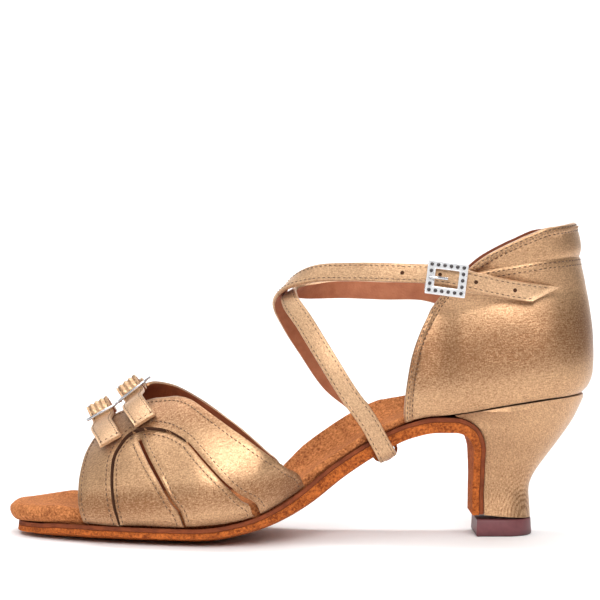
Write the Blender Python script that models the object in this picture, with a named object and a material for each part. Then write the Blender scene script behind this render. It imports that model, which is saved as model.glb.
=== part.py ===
# Ballroom dance shoe for the left foot: an open-toed satin sandal with a flared heel.
# Metres, +Z up. Toe at -X, heel at +X, outer (lateral) side at -Y, inner (medial) side at +Y.
import math

import bmesh
import bpy
from mathutils import Matrix, Vector
from mathutils.geometry import delaunay_2d_cdt

# Main sizes
shoe_length = 0.239
ball_width = 0.080
heel_height = 0.058
instep_height = 0.100
counter_height = 0.0695

# Sole
outsole_fore = 0.0021
outsole_waist = 0.0042
midsole_thickness = 0.0015
insole_thickness = 0.0074
insole_seat_thickness = 0.0032
padding_end_share = 0.36
padding_blend_share = 0.22
edge_lift = 0.0033
arch_lift = 0.0072
toe_overhang = 0.0032
toe_slope = 0.12
bridge_length = 0.013
bridge_thickness = 0.0016
tunnel_share = 0.640

# Heel
top_lift_height = 0.0068
top_lift_front = 0.0030
heel_seat_width = 0.0512

# Upper
upper_wall = 0.0017
counter_wall = 0.0021
band_step = 0.0011
binding_width = 0.0024
binding_step = 0.0004
slit_width = 0.0012
ridge_offset = 0.0100

# Straps and metal
strap_width = 0.0076
strap_thickness = 0.0017
crossing_share = 0.55
end_cut = 0.0054
cut_fade = 0.40
vamp_strap_width = 0.0096
vamp_strap_thickness = 0.0013
buckle_length = 0.0160
buckle_height = 0.0135
buckle_rim = 0.0033
buckle_thickness = 0.0014
prong_radius = 0.0006
hinge_radius = 0.0007
tab_width = 0.0062
tab_thickness = 0.0011
frame_wire = 0.0012
gap = 0.0003

# Path of the sole's underside from the toe tip to the foot of the breast flap.
# place: share of length, rise: share of heel height, centre and half: shares of ball width (centre + is
# medial), crown: share of edge lift
sole_rows = [
    (0.0146, 0.0345, 0.048, 0.010, 0.0),
    (0.0155, 0.0342, 0.047, 0.040, 0.0),
    (0.0175, 0.0334, 0.046, 0.072, 0.0),
    (0.0215, 0.0315, 0.044, 0.108, 0.0),
    (0.0280, 0.0280, 0.042, 0.148, 0.1),
    (0.0360, 0.0230, 0.042, 0.184, 0.2),
    (0.0480, 0.0155, 0.044, 0.226, 0.4),
    (0.0650, 0.0070, 0.046, 0.272, 0.6),
    (0.0900, 0.0010, 0.040, 0.322, 0.9),
    (0.1440, 0.000, 0.018, 0.393, 1.0),
    (0.1990, 0.000, -0.002, 0.440, 1.0),
    (0.2740, 0.000, -0.024, 0.483, 1.0),
    (0.3200, 0.000, -0.047, 0.489, 1.0),
    (0.3620, 0.012, -0.082, 0.468, 1.0),
    (0.4000, 0.045, -0.112, 0.430, 0.9),
    (0.4500, 0.107, -0.138, 0.372, 0.8),
    (0.4850, 0.171, -0.132, 0.324, 0.7),
    (0.5150, 0.240, -0.108, 0.282, 0.6),
    (0.5820, 0.445, -0.060, 0.252, 0.5),
    (0.6380, 0.591, -0.034, 0.254, 0.4),
    (0.6920, 0.697, -0.012, 0.254, 0.2),
    (0.7300, 0.737, 0.000, 0.256, 0.0),
    (0.7610, 0.738, 0.000, 0.262, 0.0),
    (0.7800, 0.712, 0.000, 0.262, 0.0),
    (0.7890, 0.659, 0.000, 0.245, 0.0),
    (0.7930, 0.581, 0.000, 0.205, 0.0),
    (0.7930, 0.426, 0.000, 0.152, 0.0),
    (0.7920, 0.300, 0.000, 0.134, 0.0),
    (0.7920, 0.150, 0.000, 0.146, 0.0),
]

# Growth of the insole beyond the sole's outline (shares of the toe overhang on each side) and its
# lift along the arch (share of arch lift), by share of length
insole_rows = [
    (0.00, 0.80, 0.80, 0.0),
    (0.09, 0.45, 0.55, 0.0),
    (0.125, -0.72, -0.72, 0.0),
    (0.20, -0.75, -0.75, 0.0),
    (0.40, -0.75, -0.75, 0.05),
    (0.46, -0.75, -0.72, 0.35),
    (0.51, -0.70, -0.15, 0.80),
    (0.54, -0.10, 0.05, 0.95),
    (0.60, 0.00, 0.05, 1.00),
    (0.655, -0.15, -0.10, 0.95),
    (0.675, -0.80, -0.80, 0.80),
    (0.76, -0.80, -0.80, 0.45),
]

# Heel seat: place as share of length, rise as share of heel height, half as share of seat width
seat_rows = [
    (0.715, 0.846, 0.420),
    (0.740, 0.856, 0.432),
    (0.770, 0.870, 0.458),
    (0.820, 0.910, 0.490),
    (0.870, 0.944, 0.500),
    (0.915, 0.972, 0.500),
    (0.950, 0.986, 0.500),
    (0.9855, 1.000, 0.500),
]

# Counter wall over its seat: height as share of counter height, shift to the back and to the sides as
# shares of the seat width
counter_rows = [
    (-0.10, -0.006, -0.006),
    (0.00, 0.000, 0.000),
    (0.05, 0.040, 0.022),
    (0.12, 0.070, 0.046),
    (0.22, 0.078, 0.056),
    (0.34, 0.071, 0.050),
    (0.50, 0.049, 0.026),
    (0.65, 0.010, -0.012),
    (0.770, -0.028, -0.038),
    (0.806, -0.034, -0.044),
    (0.850, -0.024, -0.050),
    (0.93, -0.042, -0.064),
    (1.00, -0.085, -0.080),
    (1.10, -0.140, -0.100),
]

# Collar line from the foot of the front edge to the back: place as share of length, height over the
# lateral seat as share of counter height
collar_rows = [
    (0.6760, 0.000),
    (0.6745, 0.060),
    (0.6765, 0.165),
    (0.6810, 0.280),
    (0.6890, 0.400),
    (0.7030, 0.520),
    (0.7215, 0.635),
    (0.7390, 0.715),
    (0.7700, 0.805),
    (0.8000, 0.870),
    (0.8350, 0.915),
    (0.8750, 0.955),
    (0.9150, 0.982),
]
# The inner half of the collar stands further back by this share
medial_collar_share = 0.94

# Ridge of the foot over the vamp: place as share of length, height as share of instep height
ridge_rows = [
    (0.070, 0.300),
    (0.130, 0.405),
    (0.160, 0.463),
    (0.200, 0.548),
    (0.240, 0.632),
    (0.290, 0.705),
    (0.330, 0.760),
    (0.400, 0.850),
    (0.475, 0.960),
    (0.560, 1.060),
]

# Edges of the vamp's outer half in side view: place as share of length, height as share of instep
# height. The inner half takes the same pattern drawn in by medial_reach_share.
front_edge = [
    (0.1500, 0.000),
    (0.1405, 0.080),
    (0.1345, 0.150),
    (0.1320, 0.217),
    (0.1325, 0.270),
    (0.1365, 0.330),
    (0.1470, 0.385),
    (0.1600, 0.432),
]
lateral_edge = [
    (0.1730, 0.464),
    (0.1900, 0.498),
    (0.2050, 0.516),
    (0.2300, 0.542),
    (0.2530, 0.562),
    (0.2760, 0.571),
    (0.2950, 0.577),
    (0.3200, 0.565),
    (0.3510, 0.520),
    (0.3900, 0.460),
    (0.4300, 0.394),
    (0.4750, 0.312),
    (0.5050, 0.242),
    (0.5090, 0.000),
]
medial_edge = [
    (0.1750, 0.458),
    (0.1950, 0.497),
    (0.2120, 0.545),
    (0.2250, 0.592),
    (0.2370, 0.612),
    (0.2550, 0.607),
    (0.2780, 0.590),
    (0.2990, 0.563),
    (0.3210, 0.530),
    (0.3600, 0.470),
    (0.4000, 0.402),
    (0.4400, 0.322),
    (0.4680, 0.246),
    (0.4730, 0.000),
]
arch_edge = [
    (0.2070, 0.000),
    (0.2010, 0.100),
    (0.1950, 0.165),
    (0.1912, 0.245),
    (0.1917, 0.326),
    (0.2005, 0.377),
    (0.2155, 0.422),
    (0.2365, 0.446),
    (0.2575, 0.453),
    (0.2825, 0.447),
    (0.3010, 0.430),
    (0.3150, 0.412),
]
middle_slit = [
    (0.3200, 0.000),
    (0.3050, 0.130),
    (0.2910, 0.177),
    (0.2700, 0.265),
    (0.2490, 0.345),
    (0.2330, 0.412),
]
rear_slit_low = [
    (0.4270, 0.000),
    (0.4210, 0.150),
    (0.4060, 0.183),
    (0.3745, 0.260),
    (0.3420, 0.340),
    (0.3170, 0.404),
]
rear_slit_high = [
    (0.4420, 0.000),
    (0.4330, 0.157),
    (0.4000, 0.216),
    (0.3640, 0.297),
    (0.3330, 0.374),
    (0.3190, 0.406),
]
medial_reach_share = 0.90
tuck = math.radians(22)
low_share = 0.20
lateral_fullness = 1.25
medial_fullness = 0.93

# Shares used by more than one piece
flat_share = 0.45
crown_bend_share = 0.80
crown_middle_share = 0.40
seat_start_share = 0.715
seat_blend_share = 0.055
widest_share = 0.870
seat_end_share = 0.9855
seat_back_share = 0.86
seat_side_share = 0.90


# Curves and meshes

def readRows(rows, at, slope=None):
    # Cubic through a table whose first column is the key, monotone unless another slope is asked for
    slope = slope or limitedSlope
    if at <= rows[0][0]:
        return rows[0][1:]
    if at >= rows[-1][0]:
        return rows[-1][1:]
    i = 0
    while rows[i + 1][0] < at:
        i += 1
    span = rows[i + 1][0] - rows[i][0]
    part = (at - rows[i][0]) / span
    found = []
    for column in range(1, len(rows[0])):
        rise = (rows[i + 1][column] - rows[i][column]) / span
        before = rise
        after = rise
        if i > 0:
            before = slope(rows, i, column)
        if i + 2 < len(rows):
            after = slope(rows, i + 1, column)
        square = part * part
        cube = square * part
        value = (2 * cube - 3 * square + 1) * rows[i][column] + (cube - 2 * square + part) * span * before
        value += (3 * square - 2 * cube) * rows[i + 1][column] + (cube - square) * span * after
        found.append(value)
    return tuple(found)


def limitedSlope(rows, i, column):
    left_span = rows[i][0] - rows[i - 1][0]
    right_span = rows[i + 1][0] - rows[i][0]
    left = (rows[i][column] - rows[i - 1][column]) / left_span
    right = (rows[i + 1][column] - rows[i][column]) / right_span
    if left * right <= 0:
        return 0.0
    a = 2 * right_span + left_span
    b = right_span + 2 * left_span
    return (a + b) / (a / left + b / right)


def freeSlope(rows, i, column):
    left_span = rows[i][0] - rows[i - 1][0]
    right_span = rows[i + 1][0] - rows[i][0]
    left = (rows[i][column] - rows[i - 1][column]) / left_span
    right = (rows[i + 1][column] - rows[i][column]) / right_span
    return (left * right_span + right * left_span) / (left_span + right_span)


def alongRows(rows, steps):
    # A smooth line through points in space, each followed by its outward direction
    keyed = [(0.0,) + tuple(rows[0])]
    for row in rows[1:]:
        keyed.append((keyed[-1][0] + math.dist(row[:3], keyed[-1][1:4]),) + tuple(row))
    found = []
    for a, b in zip(keyed, keyed[1:]):
        for k in range(steps):
            found.append(readRows(keyed, a[0] + (b[0] - a[0]) * k / steps, freeSlope))
    found.append(keyed[-1][1:])
    return found


def ease(value):
    value = min(max(value, 0.0), 1.0)
    return value * value * (3 - 2 * value)


def splinePoint(rows, i, part):
    # Catmull-Rom through rows of numbers, between rows i and i + 1
    a = rows[max(i - 1, 0)]
    b = rows[i]
    c = rows[min(i + 1, len(rows) - 1)]
    d = rows[min(i + 2, len(rows) - 1)]
    found = []
    for p, q, r, s in zip(a, b, c, d):
        square = part * part
        cube = square * part
        bend = (2 * p - 5 * q + 4 * r - s) * square + (3 * q - p - 3 * r + s) * cube
        found.append(0.5 * (2 * q + (r - p) * part + bend))
    return tuple(found)


def splineThrough(rows, steps):
    points = []
    for i in range(len(rows) - 1):
        for k in range(steps):
            points.append(splinePoint(rows, i, k / steps))
    points.append(tuple(rows[-1]))
    return points


def evenly(points, spacing):
    # The same line in nearly equal steps
    lengths = [0.0]
    for a, b in zip(points, points[1:]):
        lengths.append(lengths[-1] + math.dist(a, b))
    count = max(int(round(lengths[-1] / spacing)), 1)
    even = []
    i = 0
    for k in range(count + 1):
        target = lengths[-1] * k / count
        while i < len(points) - 2 and lengths[i + 1] < target:
            i += 1
        part = (target - lengths[i]) / max(lengths[i + 1] - lengths[i], 1e-9)
        part = min(part, 1.0)
        even.append(tuple(p + (q - p) * part for p, q in zip(points[i], points[i + 1])))
    return even


def addObject(name, vertices, faces, smooth_angle=40):
    mesh = bpy.data.meshes.new(name)
    mesh.from_pydata([tuple(v) for v in vertices], [], faces)
    work = bmesh.new()
    work.from_mesh(mesh)
    bmesh.ops.recalc_face_normals(work, faces=work.faces)
    if work.calc_volume(signed=True) < 0:
        bmesh.ops.reverse_faces(work, faces=work.faces)
    work.to_mesh(mesh)
    work.free()
    mesh.shade_smooth()
    mesh.set_sharp_from_angle(angle=math.radians(smooth_angle))
    shape = bpy.data.objects.new(name, mesh)
    bpy.context.collection.objects.link(shape)
    return shape


def loft(name, rings, smooth_angle=40):
    # Closed body through rings of equal count, with a fan at each end
    vertices = [point for ring in rings for point in ring]
    count = len(rings[0])
    faces = []
    for i in range(len(rings) - 1):
        for k in range(count):
            a = i * count + k
            b = i * count + (k + 1) % count
            faces.append((a, b, b + count, a + count))
    faces.append(tuple(range(count)))
    faces.append(tuple(range(len(vertices) - count, len(vertices))))
    return addObject(name, vertices, faces, smooth_angle)


def combine(shape, other, operation):
    change = shape.modifiers.new(operation.lower(), "BOOLEAN")
    change.operation = operation
    change.solver = "EXACT"
    change.object = other
    other.hide_render = True
    other.hide_viewport = False
    other.display_type = "WIRE"


def paint(shape, colour, roughness, metallic=0.0):
    material = bpy.data.materials.get(colour)
    if material is None:
        red, green, blue = colours[colour]
        material = bpy.data.materials.new(colour)
        material.use_nodes = True
        shader = material.node_tree.nodes["Principled BSDF"]
        shader.inputs["Base Color"].default_value = (red, green, blue, 1)
        shader.inputs["Roughness"].default_value = roughness
        shader.inputs["Metallic"].default_value = metallic
    shape.data.materials.append(material)


colours = {
    "suede": (0.62, 0.22, 0.05),
    "sole_edge": (0.22, 0.06, 0.03),
    "insole_suede": (0.66, 0.28, 0.10),
    "satin": (0.60, 0.42, 0.25),
    "rubber": (0.23, 0.09, 0.09),
    "silver": (0.72, 0.72, 0.74),
}


# The sole's path and outline

def pathX(share):
    return (share - 0.5) * shoe_length


def buildPath():
    # The rows are read by the square root of the length from the tip, which keeps the toe round
    rows = []
    length = 0.0
    for place, rise, centre, half, crown in sole_rows:
        x = pathX(place)
        z = rise * heel_height
        if rows:
            length += math.dist((x, z), rows[-1][1:3])
        rows.append((math.sqrt(length), x, z, centre * ball_width, half * ball_width, crown))
    points = [readRows(rows, rows[-1][0] * i / 320) for i in range(321)]
    length = 0.0
    table = []
    for i, point in enumerate(points):
        if i > 0:
            length += math.dist(point[:2], points[i - 1][:2])
        table.append((length,) + tuple(point))
    return table


sole_path = buildPath()
sole_end = sole_path[-1][0]


def pathAt(length):
    # Place, height, centre, half width, crown and the direction of the path at a length from the toe tip
    if length < 0:
        first = pathAt(0.0)
        turn = first[5]
        return (first[0] + length * turn[0], first[1] + length * turn[1]) + first[2:]
    low = 0
    high = len(sole_path) - 2
    while low < high:
        middle = (low + high + 1) // 2
        if sole_path[middle][0] <= length:
            low = middle
        else:
            high = middle - 1
    a = sole_path[low]
    b = sole_path[low + 1]
    part = min((length - a[0]) / max(b[0] - a[0], 1e-9), 1.0)
    before = sole_path[max(low - 3, 0)]
    after = sole_path[min(low + 4, len(sole_path) - 1)]
    turn = Vector((after[1] - before[1], after[2] - before[2])).normalized()
    values = tuple(p + (q - p) * part for p, q in zip(a[1:], b[1:]))
    return values + (turn,)


def lengthAtPlace(share):
    target = pathX(share)
    for row in sole_path:
        if row[1] >= target:
            return row[0]
    return sole_end


waist_length = lengthAtPlace(0.56)
ball_length = lengthAtPlace(0.40)
breast_length = lengthAtPlace(0.74)
tunnel_length = lengthAtPlace(tunnel_share)


def outsoleThickness(length):
    waist = ease((length - ball_length) / (waist_length - ball_length))
    flap = ease((length - breast_length) / (sole_end - breast_length) * 2.0)
    thick = outsole_fore + (outsole_waist - outsole_fore) * waist
    return thick + (outsole_fore - outsole_waist) * 0.7 * flap


def crownShape(across):
    # Flat in the middle, then two straight rises to the edge
    reach = min(abs(across), 1.0)
    if reach < crown_bend_share:
        return crown_middle_share * max(reach - flat_share, 0.0) / (crown_bend_share - flat_share)
    return crown_middle_share + (1 - crown_middle_share) * (reach - crown_bend_share) / (1 - crown_bend_share)


def solePoint(length, across, height, grow=0.0):
    # across runs from -1 (lateral edge) to 1 (medial edge), height is square to the path
    place, rise, centre, half, crown, turn = pathAt(length)
    up = crown * edge_lift * crownShape(across) + height
    side = centre + across * half + math.copysign(grow, across)
    return Vector((place - turn[1] * up, side, rise + turn[0] * up))


def stations(start, end, count, dense_start=False):
    found = []
    for i in range(count + 1):
        part = i / count
        if dense_start:
            part = part ** 1.7
        found.append(start + (end - start) * part)
    return found


across_steps = [-1.0, -crown_bend_share, -flat_share, 0.0, flat_share, crown_bend_share, 1.0]


def soleLayer(name, low, high, end, inset):
    # One layer of the sole between two heights over the path, its edge rounded a little
    rings = []
    lengths = stations(0.0, lengthAtPlace(0.09), 7, True)
    lengths += stations(lengthAtPlace(0.09), breast_length, 24)[1:]
    lengths += stations(breast_length, end, 12)[1:]
    for length in lengths:
        bottom = low(length)
        top = high(length)
        ring = [solePoint(length, v, bottom, -inset * (abs(v) == 1)) for v in across_steps]
        ring.append(solePoint(length, 1, (bottom + top) / 2, 0.0))
        ring += [solePoint(length, v, top, -inset * (abs(v) == 1)) for v in reversed(across_steps)]
        ring.append(solePoint(length, -1, (bottom + top) / 2, 0.0))
        rings.append(ring)
    return loft(name, rings)


def midsoleTop(length):
    return outsoleThickness(length) + gap + midsole_thickness


# Outsole with its strap bridge, and the dark layer over it

def tunnelFrame():
    centre = solePoint(tunnel_length, 0, 0)
    turn = pathAt(tunnel_length)[5]
    along = Vector((turn[0], 0, turn[1]))
    down = Vector((turn[1], 0, -turn[0]))
    return centre, along, down


def blockAlong(name, centre, along, down, half_length, half_side, top, bottom, round_share):
    # A block whose far face is rounded, laid square to the sole
    side = Vector((0, 1, 0))
    profile = [(-half_length, top), (-half_length, 0)]
    for i in range(9):
        turn = math.pi * i / 8
        lean = -math.cos(turn)
        profile.append((half_length * lean * round_share, bottom * (0.25 + 0.75 * math.sin(turn))))
    profile += [(half_length, 0), (half_length, top)]
    rings = []
    for y in (-half_side, half_side):
        rings.append([centre + along * a + down * d + side * y for a, d in profile])
    return loft(name, rings)


def makeOutsole():
    outsole = soleLayer("outsole", lambda l: 0.0, outsoleThickness, sole_end, 0.0003)
    centre, along, down = tunnelFrame()
    depth = 4 * gap + strap_thickness + bridge_thickness
    half = strap_width / 2 + gap + bridge_thickness
    bridge = blockAlong("bridge_form", centre, along, down, half, bridge_length / 2, -0.0012, depth, 0.93)
    combine(outsole, bridge, "UNION")
    half = strap_width / 2 + gap
    low = strap_thickness + 4 * gap
    channel = []
    for y in (-bridge_length, bridge_length):
        corners = [(-half, -0.0001), (half, -0.0001), (half, low), (-half, low)]
        channel.append([centre + along * a + down * d + Vector((0, y, 0)) for a, d in corners])
    combine(outsole, loft("bridge_channel", channel), "DIFFERENCE")
    paint(outsole, "suede", 0.95)


def makeMidsole():
    flap_end = sole_end - 0.0012
    midsole = soleLayer("midsole", lambda l: outsoleThickness(l) + gap, midsoleTop, flap_end, 0.0003)
    paint(midsole, "sole_edge", 0.8)


# Heel seat: the line that insole, counter and heel block share

def seatRow(share):
    rise, half = readRows(seat_rows, share)
    if share > widest_share:
        part = min((share - widest_share) / (seat_end_share - widest_share), 1.0)
        half = 0.5 * math.sin(math.acos(part ** (1 / seat_back_share))) ** seat_side_share
    return rise * heel_height, half * heel_seat_width


def edgeTable(side, end):
    # The top edge of the midsole on one side, by place
    rows = []
    for i in range(201):
        length = end * i / 200
        point = solePoint(length, side, midsoleTop(length) + gap)
        if not rows or point.x > rows[-1][0] + 1e-5:
            rows.append((point.x, point.y, point.z))
    return rows


heel_front_length = lengthAtPlace(0.752)
edge_tables = {-1: edgeTable(-1, heel_front_length), 1: edgeTable(1, heel_front_length)}


def seatEdge(x, side):
    # Where the counter stands: on the midsole in front, on the heel block behind
    share = x / shoe_length + 0.5
    height, half = seatRow(share)
    blend = ease((share - seat_start_share) / seat_blend_share)
    edge_y, edge_z = readRows(edge_tables[side], x)
    return edge_y * (1 - blend) + side * half * blend, edge_z * (1 - blend) + height * blend


# Insole

def insoleStation(place):
    # A section of the footbed's underside: centre line point, up direction, edges and lift
    x = pathX(place)
    lateral, medial, lift = readRows(insole_rows, place)
    return x, lateral * toe_overhang, medial * toe_overhang, lift * arch_lift


def insoleSection(place, thick, shift):
    # place is a share of length, shift moves the outline towards the tip at the toe
    x, grow_lateral, grow_medial, lift = insoleStation(place)
    length = lengthFor(x)
    half_row = pathAt(length + shift)
    base = pathAt(max(length, 0.0))
    turn = base[5]
    height = midsoleTop(max(length, 0.0)) + gap
    centre = half_row[2]
    half = half_row[3]
    crown = base[4] * (1 + 0.2 * (1 - ease((place - 0.05) / 0.08)))
    blend = ease((place - seat_start_share) / seat_blend_share)
    up = Vector((-turn[1], 0, turn[0]))
    origin = Vector((base[0], 0, base[1])) + up * height
    origin += Vector((1, 0, -toe_slope)) * min(length, 0.0)
    up = Vector((-turn[1] * ease((place - 0.02) / 0.10), 0, turn[0])).normalized()
    if place > seat_start_share:
        seat_z, seat_half = seatRow(place)
        inner = seat_half - counter_wall - gap
        if place > widest_share:
            depth = (seat_end_share - widest_share) * shoe_length
            shrink = (depth - counter_wall - 3 * gap) / depth
            seat_half = seatRow(widest_share + (place - widest_share) / shrink)[1]
            inner = seat_half * (1 - 2 * (counter_wall + gap) / heel_seat_width)
        half = half + (grow_lateral) * (1 - blend)
        half = half * (1 - blend) + inner * blend
        centre = centre * (1 - blend)
        grow_lateral = 0.0
        grow_medial = 0.0
        up = (up * (1 - blend) + Vector((0, 0, 1)) * blend).normalized()
        target = Vector((x, 0, seat_z + gap))
        origin = origin * (1 - blend) + target * blend
        crown = crown * (1 - blend)
    left = centre - half - grow_lateral
    right = centre + half + grow_medial
    return origin, up, left, right, crown, lift, thick, base[2], base[3]


def lengthFor(x):
    # Length along the sole for a place on the top of the midsole, straight on before the toe tip
    if x < toe_top:
        return x - toe_top
    for row in sole_path:
        turn = pathAt(row[0])[5]
        if row[1] - turn[1] * midsoleTop(row[0]) >= x:
            return row[0]
        if row[0] > breast_length:
            return row[0]
    return breast_length


toe_top = sole_path[0][1] - pathAt(0.0)[5][1] * midsoleTop(0.0)


def makeInsole():
    rings = []
    toe_tip = sole_path[0][1] - toe_overhang
    tip = toe_tip / shoe_length + 0.5
    nose = insole_thickness / 2 / shoe_length
    places = [tip + nose * (1 - math.cos(math.pi / 2 * i / 4)) for i in range(5)]
    places += [tip + nose + (0.10 - tip - nose) * (i / 9) ** 1.5 for i in range(1, 10)]
    places += [0.10 + (seat_start_share - 0.10) * i / 24 for i in range(1, 25)]
    last = seat_end_share - (counter_wall + 3.2 * gap) / shoe_length
    places += [seat_start_share + (last - seat_start_share) * (1 - (1 - i / 12) ** 1.7) for i in range(1, 13)]
    for place in places:
        seat = ease((place - padding_end_share) / padding_blend_share)
        thick = insole_thickness + (insole_seat_thickness - insole_thickness) * seat
        shift = (toe_top - toe_tip) * (1 - ease((place - tip) / 0.16))
        part = min((place - tip) / nose, 1.0)
        pinch = max(math.sqrt(1 - (1 - part) ** 2), 0.16)
        rings.append(insoleRing(*insoleSection(place, thick, shift), pinch))
    insole = loft("insole", rings, 50)
    paint(insole, "insole_suede", 0.95)


def insoleRing(origin, up, left, right, crown, lift, thick, sole_centre, sole_half, pinch):
    # Underside from lateral to medial, a round edge, then the top back again
    middle = (left + right) / 2
    half = (right - left) / 2
    nose = min(thick * 0.42, half * 0.15)

    def at(across, inset, height, under):
        side = middle + across * (half - inset)
        across_sole = min(abs(side - sole_centre) / sole_half, 1.0)
        rise = crown * edge_lift * crownShape(across_sole)
        start = 0.35
        if under:
            start = 0.62
        bend = (max(across - start, 0.0) / (1 - start)) ** 1.7
        if under:
            bend *= 0.3
        level = thick / 2 + (height - thick / 2) * pinch
        return origin + up * (rise + lift * bend + level) + Vector((0, side, 0))

    ring = [at(v, nose * (abs(v) == 1), 0.0, True) for v in across_steps]
    ring.append(at(1, nose * 0.25, thick * 0.22, True))
    ring.append(at(1, 0.0, thick * 0.5, True) * 0.5 + at(1, 0.0, thick * 0.5, False) * 0.5)
    ring.append(at(1, nose * 0.25, thick * 0.80, False))
    ring += [at(v, nose * (abs(v) == 1), thick, False) for v in reversed(across_steps)]
    ring.append(at(-1, nose * 0.25, thick * 0.80, False))
    ring.append(at(-1, 0.0, thick * 0.5, False))
    ring.append(at(-1, nose * 0.25, thick * 0.22, True))
    return ring


# Heel block and heel tip

# Sections of the heel block from the tip to the seat. flap: share of the breast flap's length from its
# foot, back: share of length, rise: share of heel height at the back, half: share of seat width
heel_rows = [
    (0.00, 0.8950, 0.000, 0.232),
    (0.12, 0.8935, 0.125, 0.214),
    (0.28, 0.8925, 0.215, 0.203),
    (0.42, 0.8955, 0.290, 0.210),
    (0.54, 0.9050, 0.378, 0.240),
    (0.66, 0.9220, 0.490, 0.296),
    (0.78, 0.9445, 0.632, 0.372),
    (0.90, 0.9680, 0.795, 0.440),
    (0.965, 0.9850, 0.965, 0.496),
]
def heelRing(flap, back_place, back_rise, half, top):
    length = sole_end + (heel_front_length - sole_end) * flap
    front = solePoint(length, 0, midsoleTop(length) + gap)
    base = top_lift_height + gap
    back_z = base + (heel_height - base) * back_rise
    back = pathX(back_place)
    half_width = half * heel_seat_width
    front_z = max(front.z, base)
    if top:
        back_z = seatRow(back_place)[0]
    ring = []
    count = 14
    front_half = min(half_width, pathAt(length)[3] - 0.0004)
    ring.append(Vector((front.x, -front_half, front_z)))
    for i in range(count + 1):
        turn = -math.pi / 2 + math.pi * i / count
        depth = (back - front.x)
        share = 0.36 + 0.64 * math.copysign(abs(math.cos(turn)) ** 0.85, math.cos(turn))
        x = front.x + depth * share
        y = half_width * math.copysign(abs(math.sin(turn)) ** 0.90, math.sin(turn))
        z = front_z + (back_z - front_z) * share
        ring.append(Vector((x, y, z)))
    ring.append(Vector((front.x, front_half, front_z)))
    return ring


def seatRing(drop, inset):
    # The seat's own outline, from the breast round the back
    front = heel_front_length
    start = solePoint(front, 0, midsoleTop(front) + gap).x / shoe_length + 0.5
    places = [start + (seat_end_share - start) * math.sin(math.pi / 2 * i / 8) for i in range(9)]
    ring = []
    for side in (-1, 1):
        row = places if side < 0 else list(reversed(places[:-1]))
        for place in row:
            z, half = seatRow(place)
            ring.append(Vector((pathX(place), side * (half - inset), z - drop)))
    return ring


def makeHeel():
    rows = splineThrough(heel_rows, 2)
    rings = []
    for flap, back, rise, half in rows:
        rings.append(heelRing(flap, back, rise, half, False))
    rings.append(seatRing(gap, 0.0004))
    heel = loft("heel_block", rings)
    paint(heel, "satin", 0.35)


def makeTopLift():
    front = solePoint(sole_end, 0, midsoleTop(sole_end) + gap).x - top_lift_front
    back = pathX(heel_rows[0][1]) + 0.0002
    half = heel_rows[0][3] * heel_seat_width + 0.0002
    rings = []
    levels = ((0.0, -0.0002), (0.0005, 0.0003), (top_lift_height - 0.0004, 0.0), (top_lift_height, -0.0003))
    for z, spread in levels:
        ring = [Vector((front - spread, -half - spread, z))]
        for i in range(17):
            turn = -math.pi / 2 + math.pi * i / 16
            share = 0.5 + 0.5 * math.cos(turn)
            x = front + (back - front) * share + spread * math.cos(turn)
            ring.append(Vector((x, (half + spread) * math.sin(turn), z)))
        ring.append(Vector((front - spread, half + spread, z)))
        rings.append(ring)
    lift = loft("top_lift", rings)
    paint(lift, "rubber", 0.5)


# Walls cut from a surface: an outline in a flat chart, filled with triangles and given a thickness

def insidePolygon(point, polygon):
    x, y = point
    inside = False
    j = len(polygon) - 1
    for i in range(len(polygon)):
        ax, ay = polygon[i]
        bx, by = polygon[j]
        if (ay > y) != (by > y) and x < (bx - ax) * (y - ay) / (by - ay) + ax:
            inside = not inside
        j = i
    return inside


def nearest(point, line):
    best = 1e9
    px, py = point
    for (ax, ay), (bx, by) in zip(line, line[1:]):
        dx = bx - ax
        dy = by - ay
        part = ((px - ax) * dx + (py - ay) * dy) / max(dx * dx + dy * dy, 1e-18)
        part = min(max(part, 0.0), 1.0)
        best = min(best, math.hypot(ax + dx * part - px, ay + dy * part - py))
    return best


def offsetLine(line, distance):
    # The same line moved to its left by a distance
    moved = []
    for i in range(len(line)):
        a = line[max(i - 1, 0)]
        b = line[min(i + 1, len(line) - 1)]
        dx = b[0] - a[0]
        dy = b[1] - a[1]
        size = math.hypot(dx, dy)
        moved.append((line[i][0] - dy / size * distance, line[i][1] + dx / size * distance))
    return moved


def fillOutline(outline, lines, spacing):
    # Triangles inside an outline, with extra lines kept as edges and an even field of points between
    points = [Vector(p) for p in outline]
    edges = [(i, (i + 1) % len(outline)) for i in range(len(outline))]
    for line in lines:
        start = len(points)
        points += [Vector(p) for p in line]
        edges += [(start + i, start + i + 1) for i in range(len(line) - 1)]
    guards = [list(outline) + [outline[0]]] + [list(line) for line in lines]
    low_x = min(p[0] for p in outline)
    high_x = max(p[0] for p in outline)
    low_y = min(p[1] for p in outline)
    high_y = max(p[1] for p in outline)
    row = 0
    y = low_y + spacing / 2
    while y < high_y:
        x = low_x + spacing * (0.25 + 0.5 * (row % 2))
        while x < high_x:
            if insidePolygon((x, y), outline):
                if min(nearest((x, y), guard) for guard in guards) > spacing * 0.55:
                    points.append(Vector((x, y)))
            x += spacing
        y += spacing * 0.866
        row += 1
    found = delaunay_2d_cdt(points, edges, [list(range(len(outline)))], 1, 1e-7)
    return [tuple(p) for p in found[0]], [tuple(f) for f in found[2]]


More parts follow.
